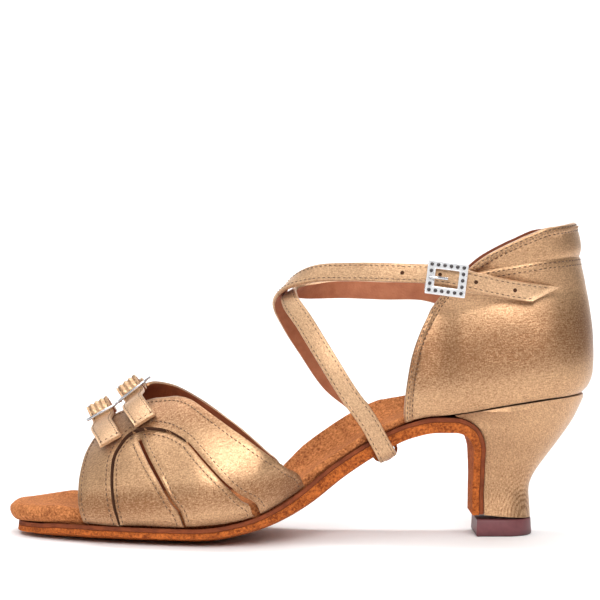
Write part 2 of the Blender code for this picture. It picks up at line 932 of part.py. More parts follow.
def wall(name, outline, lines, spacing, face, smooth_angle=35):
    # face(u, v, side) gives the outer point for side 1 and the inner point for side 0
    flat, triangles = fillOutline(outline, lines, spacing)
    used = sorted({i for triangle in triangles for i in triangle})
    index = {old: new for new, old in enumerate(used)}
    outer = [face(flat[i][0], flat[i][1], 1) for i in used]
    inner = [face(flat[i][0], flat[i][1], 0) for i in used]
    count = len(used)
    faces = []
    edges = {}
    for triangle in triangles:
        a, b, c = (index[i] for i in triangle)
        faces.append((a, b, c))
        faces.append((c + count, b + count, a + count))
        for pair in ((a, b), (b, c), (c, a)):
            edges[pair] = edges.get(pair, 0) + 1
    for a, b in list(edges):
        if (b, a) not in edges:
            faces.append((b, a, a + count, b + count))
    return addObject(name, outer + inner, faces, smooth_angle)


def squareTo(point, u, v, step=0.0004):
    # Unit direction square to a surface at (u, v)
    across = point(u + step, v) - point(u - step, v)
    along = point(u, v + step) - point(u, v - step)
    return across.cross(along).normalized()


# Counter: the seat's outline raised, swelling over the heel and drawn in at the collar

quarter = 0.040


def counterBase(u):
    # Chart distance from the back centre to a point on the seat outline; u < 0 is lateral
    side = -1 if u < 0 else 1
    reach = abs(u)
    centre = pathX(widest_share)
    back = pathX(seat_end_share)
    if reach < quarter:
        turn = math.pi / 2 * reach / quarter
        share = math.cos(turn) ** seat_back_share
        place = centre + (back - centre) * share
        half = heel_seat_width / 2 * math.sin(turn) ** seat_side_share
        return Vector((place, side * half, 0)), math.cos(turn), math.sin(turn)
    place = centre - (reach - quarter)
    edge_y = seatEdge(place, side)[0]
    return Vector((place, edge_y, 0)), 0.0, 1.0


def counterPoint(u, h):
    base, back_part, side_part = counterBase(u)
    back, side = readRows(counter_rows, h / counter_height)
    x = base.x + back * heel_seat_width * back_part
    y = base.y + math.copysign(side * heel_seat_width * side_part, u)
    return Vector((x, y, seatEdge(base.x, -1 if u < 0 else 1)[1] + h))


def counterFace(u, v, depth):
    return counterPoint(u, v) - squareTo(counterPoint, u, v) * depth


def collarChart():
    # The lateral collar line in the chart, from its foot to the back centre
    line = []
    for place, height in splineThrough(collar_rows, 4):
        x = pathX(place)
        centre = pathX(widest_share)
        if x <= centre:
            u = -(quarter + centre - x)
        else:
            share = (x - centre) / (pathX(seat_end_share) - centre)
            u = -quarter * math.acos(min(share, 1.0) ** (1 / seat_back_share)) / (math.pi / 2)
        line.append((u, height * counter_height))
    line.append((0.0, counter_height))
    return evenly(line, 0.0032)


def makeCounter():
    collar = collarChart()
    foot_u = collar[0][0]
    low = gap
    bottom = [(foot_u * (1 - (1 + medial_collar_share) * i / 52), low) for i in range(53)]
    lateral = [(u, max(v, low)) for u, v in collar]
    medial = [(-u * medial_collar_share, v) for u, v in reversed(lateral[:-1])]
    rim = lateral + medial
    outline = bottom[1:-1] + list(reversed(rim))
    hem = evenly(offsetLine(rim, -binding_width), 0.0036)
    hem = [p for p in hem if p[1] > low + 0.0008]
    seam = offsetLine(rim, -binding_width - 0.0005)
    seam = [p for p in evenly(seam, 0.0036) if p[1] > low + 0.0008]

    def face(u, v, side):
        if side == 0:
            return counterFace(u, v, counter_wall)
        raised = binding_step if nearest((u, v), rim) < binding_width + 0.0001 else 0.0
        return counterFace(u, v, -raised)

    counter = wall("counter", outline, [hem, seam], 0.0058, face)
    paint(counter, "satin", 0.35)


# Vamp: the surface of the foot between the sole's edge and the ridge

def vampSection(x, side):
    edge_y, edge_z = readRows(edge_tables[side], x)
    height = readRows(ridge_rows, x / shoe_length + 0.5)[0] * instep_height
    return edge_y, edge_z, ridge_offset, height


def vampPoint(x, g, side):
    # g runs from 0 at the sole's edge to 1 on the ridge
    edge_y, edge_z, ridge_y, ridge_z = vampSection(x, side)
    fullness = lateral_fullness if side < 0 else medial_fullness
    turn = -tuck + g * (math.pi / 2 + tuck)
    reach = (edge_y - ridge_y) / math.cos(tuck)
    middle = edge_z + low_share * (ridge_z - edge_z)
    if turn < 0:
        y = ridge_y + reach * math.cos(turn)
        z = middle - (middle - edge_z) * math.sin(-turn) / math.sin(tuck)
    else:
        y = ridge_y + reach * max(math.cos(turn), 0.0) ** fullness
        z = middle + (ridge_z - middle) * math.sin(turn) ** fullness
    return Vector((x, y, z))


def girthAt(x, z, side):
    # Share of the girth at which the surface has a height, in side view
    edge_y, edge_z, ridge_y, ridge_z = vampSection(x, side)
    fullness = lateral_fullness if side < 0 else medial_fullness
    middle = edge_z + low_share * (ridge_z - edge_z)
    if z <= edge_z:
        return 0.0
    if z < middle:
        turn = -math.asin((middle - z) / (middle - edge_z) * math.sin(tuck))
    else:
        share = min((z - middle) / (ridge_z - middle), 0.9999)
        turn = math.asin(share ** (1 / fullness))
    return (turn + tuck) / (math.pi / 2 + tuck)


girth_scale = 0.62 * instep_height + 0.25 * ball_width - 0.012


def vampChart(rows, reach, side):
    # Side-view rows to chart points, drawn in towards the front edge by reach
    line = []
    for place, height in splineThrough(rows, 5):
        x = pathX(place)
        g = girthAt(x, height * instep_height, side)
        if height <= 0.001:
            g = 0.0
        front = pathX(front_edge[3][0])
        line.append((front + (x - front) * reach, g * girth_scale))
    return line


def makeVamp(name, side, reach):
    front = vampChart(front_edge, reach, -1)
    if side < 0:
        top = vampChart(lateral_edge, 1.0, -1)
    else:
        top = vampChart(medial_edge, 1.0, 1)
    arch = vampChart(arch_edge, reach, -1)
    slit = vampChart(middle_slit, reach, -1)
    rear_low = vampChart(rear_slit_low, reach, -1)
    rear_high = vampChart(rear_slit_high, reach, -1)
    rim = evenly(front + top, 0.003)
    slit_left = offsetLine(slit, slit_width / 2)
    slit_right = offsetLine(slit, -slit_width / 2)
    slit_edge = evenly(slit_left, 0.0033) + list(reversed(evenly(slit_right, 0.0033)))
    rear_edge = evenly(rear_low, 0.0033) + list(reversed(evenly(rear_high, 0.0033)))
    bottom = []
    bottom += betweenX(rim[-1], rear_edge[-1], 0.004)
    bottom += list(reversed(rear_edge))
    bottom += betweenX(rear_edge[0], slit_edge[-1], 0.004)
    bottom += list(reversed(slit_edge))
    bottom += betweenX(slit_edge[0], rim[0], 0.004)
    outline = rim + bottom
    outline = [(u, max(v, 0.0)) for u, v in outline]
    step_out = [p for p in evenly(arch, 0.0033)]
    step_in = [p for p in evenly(offsetLine(arch, -0.0004), 0.0033)]
    inner_region = list(arch) + list(reversed(rear_low))
    step_out[0] = (step_out[0][0], 0.0001)
    step_in[0] = (step_in[0][0], 0.0001)

    def lift(u, v):
        if insidePolygon((u, v), inner_region) or nearest((u, v), rear_low) < 0.0002:
            if nearest((u, v), arch) > 0.0002:
                return 0.0
        far = nearest((u, v), arch)
        return band_step * (1 - 0.55 * ease(far / 0.016)) * (0.35 + 0.65 * ease(v / 0.012))

    def surface(u, v):
        return vampPoint(u, v / girth_scale, side)

    def face(u, v, outer):
        outward = squareTo(surface, u, max(v, 0.0005)) * -side
        shift = lift(u, v) if outer else -upper_wall
        return surface(u, v) + outward * shift

    vamp = wall(name, dropRepeats(outline), [step_out, step_in], 0.0054, face)
    paint(vamp, "satin", 0.35)


def betweenX(a, b, spacing):
    # Points strictly between two chart points
    count = max(int(math.dist(a, b) / spacing), 1)
    return [(a[0] + (b[0] - a[0]) * i / count, a[1] + (b[1] - a[1]) * i / count) for i in range(1, count)]


def dropRepeats(line):
    kept = []
    for point in line:
        if not kept or math.dist(point, kept[-1]) > 0.0002:
            kept.append(point)
    if math.dist(kept[0], kept[-1]) <= 0.0002:
        kept.pop()
    return kept


# Ribbons: flat straps swept along a line, lying square to a given outward direction

def ribbonRings(rows, width, thickness, steps, cut=0.0):
    samples = alongRows(rows, steps)
    centres = [Vector(s[:3]) for s in samples]
    rings = []
    for i, sample in enumerate(samples):
        before = centres[max(i - 1, 0)]
        after = centres[min(i + 1, len(centres) - 1)]
        along = (after - before).normalized()
        outward = Vector(sample[3:6])
        outward = (outward - along * outward.dot(along)).normalized()
        across = along.cross(outward)
        slant = along * max(cut - (centres[i] - centres[0]).length * cut_fade, 0.0)
        half_width = across * width / 2
        half_depth = outward * thickness / 2
        middle = centres[i]
        rings.append([
            middle - half_width - half_depth + slant,
            middle + half_width - half_depth - slant,
            middle + half_width + half_depth - slant,
            middle - half_width + half_depth + slant,
        ])
    return rings


# The long strap's free end over the counter: place, height as share of counter height, distance out
free_end_rows = [
    (0.903, 0.598, 0.0026),
    (0.850, 0.676, 0.0026),
    (0.802, 0.742, 0.0036),
]

# Its fixed end inside the counter: place, height as share of counter height
fixed_end_rows = [
    (0.775, 0.640),
    (0.800, 0.630),
    (0.825, 0.620),
]

# The tab on the counter: place, height as share of counter height
tab_rows = [
    (0.822, 0.690),
    (0.800, 0.712),
    (0.782, 0.730),
]

# The long strap beside the sole: distance out from the sole's edge, height over the sole's underside,
# and degrees by which its outer face turns down
wrap_rows = [
    (0.0036, 0.0135, 6),
    (0.0028, 0.0070, 8),
    (0.0025, 0.0030, 12),
    (0.0019, 0.0003, 38),
    (0.0003, -0.0014, 68),
]


def strapRows():
    # The long strap from its free end round the instep, under the sole and back to the counter.
    # Each row: place, side, height, and the outward direction
    off = strap_thickness / 2 + gap
    rows = []
    for place, height, stand in free_end_rows:
        rows.append(onCounter(place, height, stand + off, -1))
    x = shoe_length
    w = ball_width
    seat = heel_seat_width
    z = instep_height
    rows += [
        (0.244 * x, -0.559 * seat, 1.058 * z, -0.12, -1.0, 0.0),
        (0.170 * x, -0.522 * seat, 1.068 * z, 0.0, -1.0, 0.10),
        (0.090 * x, -0.270 * w, 1.072 * z, -0.10, -1.0, 0.25),
        (0.020 * x, -0.168 * w, 1.062 * z, -0.30, -0.85, 0.55),
        (-0.022 * x, -0.048 * w, 1.018 * z, -0.62, -0.25, 0.80),
        (-0.035 * x, 0.090 * w, 0.952 * z, -0.70, 0.35, 0.62),
        (-0.016 * x, 0.190 * w, 0.852 * z, -0.48, 0.85, 0.30),
        (0.014 * x, 0.268 * w, 0.738 * z, -0.20, 1.0, 0.12),
        (0.052 * x, 0.302 * w, 0.606 * z, -0.05, 1.0, 0.05),
    ]
    under = off + gap
    centre, along, down = tunnelFrame()
    up = -down
    beside = [pathAt(tunnel_length + step * strap_width / 2) for step in (-1, 0, 1)]
    lateral = min(row[2] - row[3] for row in beside)
    medial = max(row[2] + row[3] for row in beside)
    for side, height, facing in wrap_rows:
        point = centre + up * height + Vector((0, medial + side - centre.y, 0))
        lean = math.radians(facing)
        rows.append(tuple(point) + tuple(Vector((0, math.cos(lean), 0)) + down * math.sin(lean)))
    for share in (0.66, 0.33, 0.0):
        point = centre + down * under + Vector((0, medial * share - centre.y, 0))
        rows.append(tuple(point) + tuple(down))
    for share in (0.36, 0.70):
        point = centre + down * under + Vector((0, lateral * share - centre.y, 0))
        rows.append(tuple(point) + tuple(down))
    for side, height, facing in reversed(wrap_rows):
        point = centre + up * height + Vector((0, lateral - side - centre.y, 0))
        lean = math.radians(facing)
        rows.append(tuple(point) + tuple(Vector((0, -math.cos(lean), 0)) + down * math.sin(lean)))
    rows += [
        (0.080 * x, -0.345 * w, 0.590 * z, -0.05, -1.0, 0.05),
        (0.046 * x, -0.325 * w, 0.720 * z, -0.15, -1.0, 0.15),
        (0.008 * x, -0.240 * w, 0.868 * z, -0.40, -0.85, 0.35),
        (-0.017 * x, -0.098 * w, 0.957 * z, -0.62, -0.45, 0.65),
        (-0.0155 * x, 0.028 * w, 0.989 * z, -0.50, 0.20, 0.80),
        (0.021 * x, 0.112 * w, 0.994 * z, -0.25, 0.80, 0.50),
        (0.070 * x, 0.309 * seat, 0.998 * z, -0.05, 1.0, 0.15),
        (0.150 * x, 0.322 * seat, 0.992 * z, 0.0, 1.0, 0.05),
        (0.212 * x, 0.334 * seat, 0.990 * z, 0.0, 1.0, 0.0),
    ]
    for place, height in fixed_end_rows:
        rows.append(onCounter(place, height, -counter_wall - off - gap, 1))
    return rows


def onCounter(place, height, stand, side):
    # A row on the counter's face, at a distance out from it
    x = pathX(place)
    centre = pathX(widest_share)
    if x <= centre:
        u = side * (quarter + centre - x)
    else:
        share = (x - centre) / (pathX(seat_end_share) - centre)
        u = side * quarter * math.acos(min(share, 1.0) ** (1 / seat_back_share)) / (math.pi / 2)
    point = counterFace(u, height * counter_height, -stand)
    outward = point - counterFace(u, height * counter_height, 0)
    outward = outward.normalized() * (1 if stand > 0 else -1)
    return tuple(point) + tuple(outward)


def makeInstepStrap():
    rows = strapRows()
    strap = loft("instep_strap", ribbonRings(rows, strap_width, strap_thickness, 4, end_cut))
    combine(strap, crossingPad(rows), "UNION")
    paint(strap, "satin", 0.4)


def crossingPad(rows):
    # Joins the strap's two passes where they cross over the instep
    points = [Vector(row[:3]) for row in alongRows(rows, 8)]
    half = len(points) // 2
    first = list(enumerate(points[:half]))
    second = list(enumerate(points[half:]))
    i, k = min((math.dist(a, b), i, k) for i, a in first for k, b in second)[1:]
    outer = points[i]
    inner = points[half + k]
    through = (outer - inner).normalized()
    along = (points[i + 1] - points[i - 1]).normalized()
    across = through.cross(along).normalized()
    along = across.cross(through)
    reach = strap_width * crossing_share / 2
    rings = []
    for centre in (inner, outer):
        corners = ((-1, -1), (1, -1), (1, 1), (-1, 1))
        rings.append([centre + along * a * reach + across * b * reach for a, b in corners])
    return loft("crossing_pad", rings)


# A flat rectangular ring

def rectangleFrame(name, centre, right, up, width, height, rim, thickness):
    outward = right.cross(up).normalized()
    vertices = []
    for depth in (-thickness / 2, thickness / 2):
        for grow in (0.0, -rim):
            for a, b in ((-1, -1), (1, -1), (1, 1), (-1, 1)):
                side = right * a * (width / 2 + grow)
                rise = up * b * (height / 2 + grow)
                vertices.append(centre + side + rise + outward * depth)
    faces = []
    for k in range(4):
        n = (k + 1) % 4
        faces.append((k, n, n + 4, k + 4))
        faces.append((8 + k, 12 + k, 12 + n, 8 + n))
        faces.append((k, 8 + k, 8 + n, n))
        faces.append((4 + k, 4 + n, 12 + n, 12 + k))
    frame = addObject(name, vertices, faces, 30)
    paint(frame, "silver", 0.2, 1.0)
    return frame


# Vamp straps: two short straps over the open centre, each through its own metal frame

# place and height: middle of the frame over the ridge; medial and lateral: where the strap lies on the
# halves, as place and height rows in side view
vamp_straps = {
    "front": {
        "place": 0.1590, "height": 0.4960, "slope": 29.0,
        "medial": [(0.1660, 0.375), (0.1640, 0.415), (0.1620, 0.450)],
        "lateral": [(0.1720, 0.432), (0.1820, 0.410), (0.1925, 0.380)],
    },
    "rear": {
        "place": 0.2112, "height": 0.5820, "slope": 37.5,
        "medial": [(0.2190, 0.500), (0.2180, 0.545), (0.2160, 0.578)],
        "lateral": [(0.2255, 0.526), (0.2370, 0.497), (0.2494, 0.463)],
    },
}
# Path of the strap through its frame: across towards the lateral side and out from the frame's plane,
# as shares of the frame's half width
fold_rows = [
    (-1.45, -0.36),
    (-1.12, -0.44),
    (-0.80, -0.38),
    (-0.57, -0.08),
    (-0.46, 0.36),
    (-0.18, 0.74),
    (0.18, 0.74),
    (0.46, 0.36),
    (0.57, -0.08),
    (0.80, -0.38),
    (1.12, -0.46),
]
frame_side = 0.0110
frame_length = 0.0136
frame_middle = 0.0030
tab_lift = 0.0012
tab_turn = 18.0


def onVamp(place, height, side, stand):
    x = pathX(place)
    g = girthAt(x, height * instep_height, side)
    v = g * girth_scale

    def surface(u, w):
        return vampPoint(u, w / girth_scale, side)

    outward = squareTo(surface, x, v) * -side
    return surface(x, v) + outward * stand, outward


def makeVampStrap(name, row):
    turn = math.radians(row["slope"])
    along = Vector((math.cos(turn), 0, math.sin(turn)))
    outward = Vector((-math.sin(turn), 0, math.cos(turn)))
    lateral = Vector((0, -1, 0))
    centre = Vector((pathX(row["place"]), frame_middle, row["height"] * instep_height))
    stand = band_step + gap + vamp_strap_thickness / 2
    reach = frame_side / 2
    fold = [centre + lateral * b * reach + outward * n * reach for b, n in fold_rows]
    rows = []
    for place, height in row["medial"]:
        point, square = onVamp(place, height, 1, stand)
        rows.append(tuple(point) + tuple(square))
    for i, point in enumerate(fold):
        before = fold[max(i - 1, 0)]
        after = fold[min(i + 1, len(fold) - 1)]
        turned = (after - before).normalized().cross(along)
        rows.append(tuple(point) + tuple(turned))
    last = Vector(rows[-1][:3])
    for i, (place, height) in enumerate(row["lateral"]):
        point, square = onVamp(place, height, -1, stand + tab_lift)
        lean = turn - math.radians(tab_turn) * (i + 1) / len(row["lateral"])
        turned = (point - last).normalized().cross(Vector((math.cos(lean), 0, math.sin(lean))))
        rows.append(tuple(point) + tuple(turned + square))
        last = point
    strap = loft("vamp_strap_" + name, ribbonRings(rows, vamp_strap_width, vamp_strap_thickness, 3))
    paint(strap, "satin", 0.4)
    title = "vamp_buckle_" + name
    rectangleFrame(title, centre, along, lateral, frame_length, frame_side, frame_wire, frame_wire)


# Ankle buckle with its hinge bar behind the strap, its prong, and the tab that holds it

def tube(name, points, radius, count=8, smooth_angle=50):
    rings = []
    for i, point in enumerate(points):
        before = points[max(i - 1, 0)]
        after = points[min(i + 1, len(points) - 1)]
        along = (after - before).normalized()
        first = along.cross(Vector((0.31, 0.17, 0.93))).normalized()
        second = along.cross(first)
        ring = []
        for k in range(count):
            turn = 2 * math.pi * k / count
            ring.append(point + (first * math.cos(turn) + second * math.sin(turn)) * radius)
        rings.append(ring)
    return loft(name, rings, smooth_angle)


def buckleFrame():
    rows = strapRows()
    before = Vector(rows[4][:3])
    middle = Vector(rows[3][:3])
    after = Vector(rows[2][:3])
    right = (after - before).normalized()
    up = (Vector((0, 0, 1)) - right * right.z).normalized()
    outward = right.cross(up)
    bow = max((middle - before).dot(outward), 0.0)
    centre = before + right * (middle - before).dot(right) + outward * bow
    centre += outward * (strap_thickness / 2 + 2 * gap + buckle_thickness / 2)
    return centre, right, up


def makeBuckle():
    centre, right, up = buckleFrame()
    back = up.cross(right)
    frame = rectangleFrame(
        "ankle_buckle", centre, right, up, buckle_length, buckle_height, buckle_rim, buckle_thickness
    )
    left = -right * (buckle_length / 2 - 0.0012)
    top = up * (buckle_height / 2 - 0.0010)
    depth = strap_thickness + 7 * gap + buckle_thickness / 2 + hinge_radius + tab_thickness
    corner = back * depth - right * 0.0012
    points = [
        centre + left + top,
        centre + left + top + back * depth * 0.5 - right * 0.0008,
        centre + left + top * 0.92 + corner * 0.93,
        centre + left + top * 0.75 + corner,
        centre + left - top * 0.75 + corner,
        centre + left - top * 0.92 + corner * 0.93,
        centre + left - top + back * depth * 0.5 - right * 0.0008,
        centre + left - top,
    ]
    loop = tube("hinge_form", points, hinge_radius)
    combine(frame, loop, "UNION")
    start = centre - right * (buckle_length / 2 - buckle_rim * 0.4)
    lift = -back * (buckle_thickness / 2 + gap + prong_radius)
    end = centre + right * 0.0004
    points = [
        start + lift,
        start + lift + right * 0.0026,
        (start + lift + end) / 2 + right * 0.0012,
        end - back * (prong_radius - buckle_thickness / 2),
    ]
    prong = tube("ankle_buckle_prong", points, prong_radius)
    paint(prong, "silver", 0.2, 1.0)
    hinge = centre + left + corner
    return hinge, right, back


def makeBuckleTab(hinge, right, back):
    # Lies on the counter, runs forward behind the strap and folds round the hinge bar
    off = gap + tab_thickness / 2
    rows = []
    for place, height in tab_rows:
        rows.append(onCounter(place, height, off + binding_step, -1))
    ring = hinge_radius + gap + tab_thickness / 2
    for turn in (100, 140, 180, 220, 260):
        lean = math.radians(turn)
        outward = right * math.cos(lean) - back * math.sin(lean)
        rows.append(tuple(hinge + outward * ring) + tuple(outward))
    tail = hinge + right * 0.0042 + back * ring
    rows.append(tuple(tail) + tuple(back))
    tab = loft("buckle_tab", ribbonRings(rows, tab_width, tab_thickness, 2))
    paint(tab, "satin", 0.4)


def makeAll():
    makeOutsole()
    makeMidsole()
    makeInsole()
    makeHeel()
    makeTopLift()
    makeCounter()
    makeVamp("vamp_lateral", -1, 1.0)
    makeVamp("vamp_medial", 1, medial_reach_share)
    for name, row in vamp_straps.items():
        makeVampStrap(name, row)
    makeInstepStrap()
    makeBuckleTab(*makeBuckle())


def settle():
    # Moves every mesh so that the middle of the shoe's box on the floor is the origin
    bodies = [shape for shape in bpy.data.objects if not shape.hide_render]
    corners = [vertex.co for shape in bodies for vertex in shape.data.vertices]
    low = [min(corner[k] for corner in corners) for k in range(3)]
    high = [max(corner[k] for corner in corners) for k in range(3)]
    move = Vector((-(low[0] + high[0]) / 2, -(low[1] + high[1]) / 2, -low[2]))
    for shape in bpy.data.objects:
        shape.data.transform(Matrix.Translation(move))


for shape in list(bpy.data.objects):
    bpy.data.objects.remove(shape, do_unlink=True)
makeAll()
settle()
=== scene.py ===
# Ballroom dance shoe, left foot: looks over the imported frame.
# Toe at -X, heel at +X, outer side at -Y, floor at Z = 0.
import math

import bmesh
import bpy
import numpy as np
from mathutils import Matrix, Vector
from mathutils.geometry import delaunay_2d_cdt


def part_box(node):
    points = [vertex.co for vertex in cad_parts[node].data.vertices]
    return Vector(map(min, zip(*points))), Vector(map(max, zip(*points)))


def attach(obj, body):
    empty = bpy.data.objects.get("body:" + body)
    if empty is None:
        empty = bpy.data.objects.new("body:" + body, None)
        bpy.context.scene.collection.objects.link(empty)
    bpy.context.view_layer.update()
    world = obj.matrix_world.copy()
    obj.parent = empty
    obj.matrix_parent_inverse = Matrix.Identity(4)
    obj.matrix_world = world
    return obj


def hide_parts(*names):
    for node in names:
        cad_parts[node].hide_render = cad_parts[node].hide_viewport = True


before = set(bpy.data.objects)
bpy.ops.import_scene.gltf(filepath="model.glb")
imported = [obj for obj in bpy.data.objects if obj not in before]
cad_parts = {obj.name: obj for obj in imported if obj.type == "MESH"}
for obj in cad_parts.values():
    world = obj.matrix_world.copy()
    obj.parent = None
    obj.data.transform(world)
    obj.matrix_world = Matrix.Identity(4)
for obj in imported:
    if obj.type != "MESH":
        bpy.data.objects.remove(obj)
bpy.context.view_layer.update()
print("frame loaded")

# Main sizes
shoeLength = 0.239
ballWidth = 0.080
heelHeight = 0.058
instepHeight = 0.100
counterHeight = 0.0695
# Sole
outsoleFore = 0.0021
outsoleWaist = 0.0042
midsoleThickness = 0.0015
insoleThickness = 0.0074
insoleSeatThickness = 0.0032
paddingEndShare = 0.36
paddingBlendShare = 0.22
edgeLift = 0.0033
archLift = 0.0072
toeOverhang = 0.0032
toeSlope = 0.12
bridgeLength = 0.013
bridgeThickness = 0.0016
tunnelShare = 0.640
# Heel
topLiftHeight = 0.0068
topLiftFront = 0.0030
heelSeatWidth = 0.0512
# Upper
upperWall = 0.0017
counterWall = 0.0021
bandStep = 0.0011
bindingWidth = 0.0024
bindingStep = 0.0004
slitWidth = 0.0012
ridgeOffset = 0.0100
# Straps and metal
strapWidth = 0.0076
strapThickness = 0.0017
crossingShare = 0.55
endCut = 0.0054
cutFade = 0.40
vampStrapWidth = 0.0096
vampStrapThickness = 0.0013
buckleLength = 0.0160
buckleHeight = 0.0135
buckleRim = 0.0033
buckleThickness = 0.0014
prongRadius = 0.0006
hingeRadius = 0.0007
tabWidth = 0.0062
tabThickness = 0.0011
frameWire = 0.0012
gap = 0.0003
# Path of the sole's underside from the toe tip to the foot of the breast flap.
# place: share of length, rise: share of heel height, centre and half: shares of ball width (centre + is
# medial), crown: share of edge lift
soleRows = [
    (0.0146, 0.0345, 0.048, 0.01, 0.0), (0.0155, 0.0342, 0.047, 0.04, 0.0),
    (0.0175, 0.0334, 0.046, 0.072, 0.0), (0.0215, 0.0315, 0.044, 0.108, 0.0),
    (0.028, 0.028, 0.042, 0.148, 0.1), (0.036, 0.023, 0.042, 0.184, 0.2),
    (0.048, 0.0155, 0.044, 0.226, 0.4), (0.065, 0.007, 0.046, 0.272, 0.6),
    (0.09, 0.001, 0.04, 0.322, 0.9), (0.144, 0.0, 0.018, 0.393, 1.0), (0.199, 0.0, -0.002, 0.44, 1.0),
    (0.274, 0.0, -0.024, 0.483, 1.0), (0.32, 0.0, -0.047, 0.489, 1.0),
    (0.362, 0.012, -0.082, 0.468, 1.0), (0.4, 0.045, -0.112, 0.43, 0.9),
    (0.45, 0.107, -0.138, 0.372, 0.8), (0.485, 0.171, -0.132, 0.324, 0.7),
    (0.515, 0.24, -0.108, 0.282, 0.6), (0.582, 0.445, -0.06, 0.252, 0.5),
    (0.638, 0.591, -0.034, 0.254, 0.4), (0.692, 0.697, -0.012, 0.254, 0.2),
    (0.73, 0.737, 0.0, 0.256, 0.0), (0.761, 0.738, 0.0, 0.262, 0.0), (0.78, 0.712, 0.0, 0.262, 0.0),
    (0.789, 0.659, 0.0, 0.245, 0.0), (0.793, 0.581, 0.0, 0.205, 0.0), (0.793, 0.426, 0.0, 0.152, 0.0),
    (0.792, 0.3, 0.0, 0.134, 0.0), (0.792, 0.15, 0.0, 0.146, 0.0),
]
# Growth of the insole beyond the sole's outline (shares of the toe overhang on each side) and its
# lift along the arch (share of arch lift), by share of length
insoleRows = [
    (0.0, 0.8, 0.8, 0.0), (0.09, 0.45, 0.55, 0.0), (0.125, -0.72, -0.72, 0.0), (0.2, -0.75, -0.75, 0.0),
    (0.4, -0.75, -0.75, 0.05), (0.46, -0.75, -0.72, 0.35), (0.51, -0.7, -0.15, 0.8),
    (0.54, -0.1, 0.05, 0.95), (0.6, 0.0, 0.05, 1.0), (0.655, -0.15, -0.1, 0.95),
    (0.675, -0.8, -0.8, 0.8), (0.76, -0.8, -0.8, 0.45),
]
# Heel seat: place as share of length, rise as share of heel height, half as share of seat width
seatRows = [
    (0.715, 0.846, 0.42), (0.74, 0.856, 0.432), (0.77, 0.87, 0.458), (0.82, 0.91, 0.49),
    (0.87, 0.944, 0.5), (0.915, 0.972, 0.5), (0.95, 0.986, 0.5), (0.9855, 1.0, 0.5),
]
# Counter wall over its seat: height as share of counter height, shift to the back and to the sides as
# shares of the seat width
counterRows = [
    (-0.1, -0.006, -0.006), (0.0, 0.0, 0.0), (0.05, 0.04, 0.022), (0.12, 0.07, 0.046),
    (0.22, 0.078, 0.056), (0.34, 0.071, 0.05), (0.5, 0.049, 0.026), (0.65, 0.01, -0.012),
    (0.77, -0.028, -0.038), (0.806, -0.034, -0.044), (0.85, -0.024, -0.05), (0.93, -0.042, -0.064),
    (1.0, -0.085, -0.08), (1.1, -0.14, -0.1),
]
# Collar line from the foot of the front edge to the back: place as share of length, height over the
# lateral seat as share of counter height
collarRows = [
    (0.676, 0.0), (0.6745, 0.06), (0.6765, 0.165), (0.681, 0.28), (0.689, 0.4), (0.703, 0.52),
    (0.7215, 0.635), (0.739, 0.715), (0.77, 0.805), (0.8, 0.87), (0.835, 0.915), (0.875, 0.955),
    (0.915, 0.982),
]
# The inner half of the collar stands further back by this share
medialCollarShare = 0.94
# Ridge of the foot over the vamp: place as share of length, height as share of instep height
ridgeRows = [
    (0.07, 0.3), (0.13, 0.405), (0.16, 0.463), (0.2, 0.548), (0.24, 0.632), (0.29, 0.705), (0.33, 0.76),
    (0.4, 0.85), (0.475, 0.96), (0.56, 1.06),
]
# Edges of the vamp's outer half in side view: place as share of length, height as share of instep
# height. The inner half takes the same pattern drawn in by medialReachShare.
frontEdge = [
    (0.15, 0.0), (0.1405, 0.08), (0.1345, 0.15), (0.132, 0.217), (0.1325, 0.27), (0.1365, 0.33),
    (0.147, 0.385), (0.16, 0.432),
]
lateralEdge = [
    (0.173, 0.464), (0.19, 0.498), (0.205, 0.516), (0.23, 0.542), (0.253, 0.562), (0.276, 0.571),
    (0.295, 0.577), (0.32, 0.565), (0.351, 0.52), (0.39, 0.46), (0.43, 0.394), (0.475, 0.312),
    (0.505, 0.242), (0.509, 0.0),
]
medialEdge = [
    (0.175, 0.458), (0.195, 0.497), (0.212, 0.545), (0.225, 0.592), (0.237, 0.612), (0.255, 0.607),
    (0.278, 0.59), (0.299, 0.563), (0.321, 0.53), (0.36, 0.47), (0.4, 0.402), (0.44, 0.322),
    (0.468, 0.246), (0.473, 0.0),
]
archEdge = [
    (0.207, 0.0), (0.201, 0.1), (0.195, 0.165), (0.1912, 0.245), (0.1917, 0.326), (0.2005, 0.377),
    (0.2155, 0.422), (0.2365, 0.446), (0.2575, 0.453), (0.2825, 0.447), (0.301, 0.43), (0.315, 0.412),
]
middleSlit = [
    (0.32, 0.0), (0.305, 0.13), (0.291, 0.177), (0.27, 0.265), (0.249, 0.345), (0.233, 0.412),
]
rearSlitLow = [
    (0.427, 0.0), (0.421, 0.15), (0.406, 0.183), (0.3745, 0.26), (0.342, 0.34), (0.317, 0.404),
]
rearSlitHigh = [
    (0.442, 0.0), (0.433, 0.157), (0.4, 0.216), (0.364, 0.297), (0.333, 0.374), (0.319, 0.406),
]
medialReachShare = 0.90
tuck = math.radians(22)
lowShare = 0.20
lateralFullness = 1.25
medialFullness = 0.93
# Shares used by more than one piece
flatShare = 0.45
crownBendShare = 0.80
crownMiddleShare = 0.40
seatStartShare = 0.715
seatBlendShare = 0.055
widestShare = 0.870
seatEndShare = 0.9855
seatBackShare = 0.86
seatSideShare = 0.90


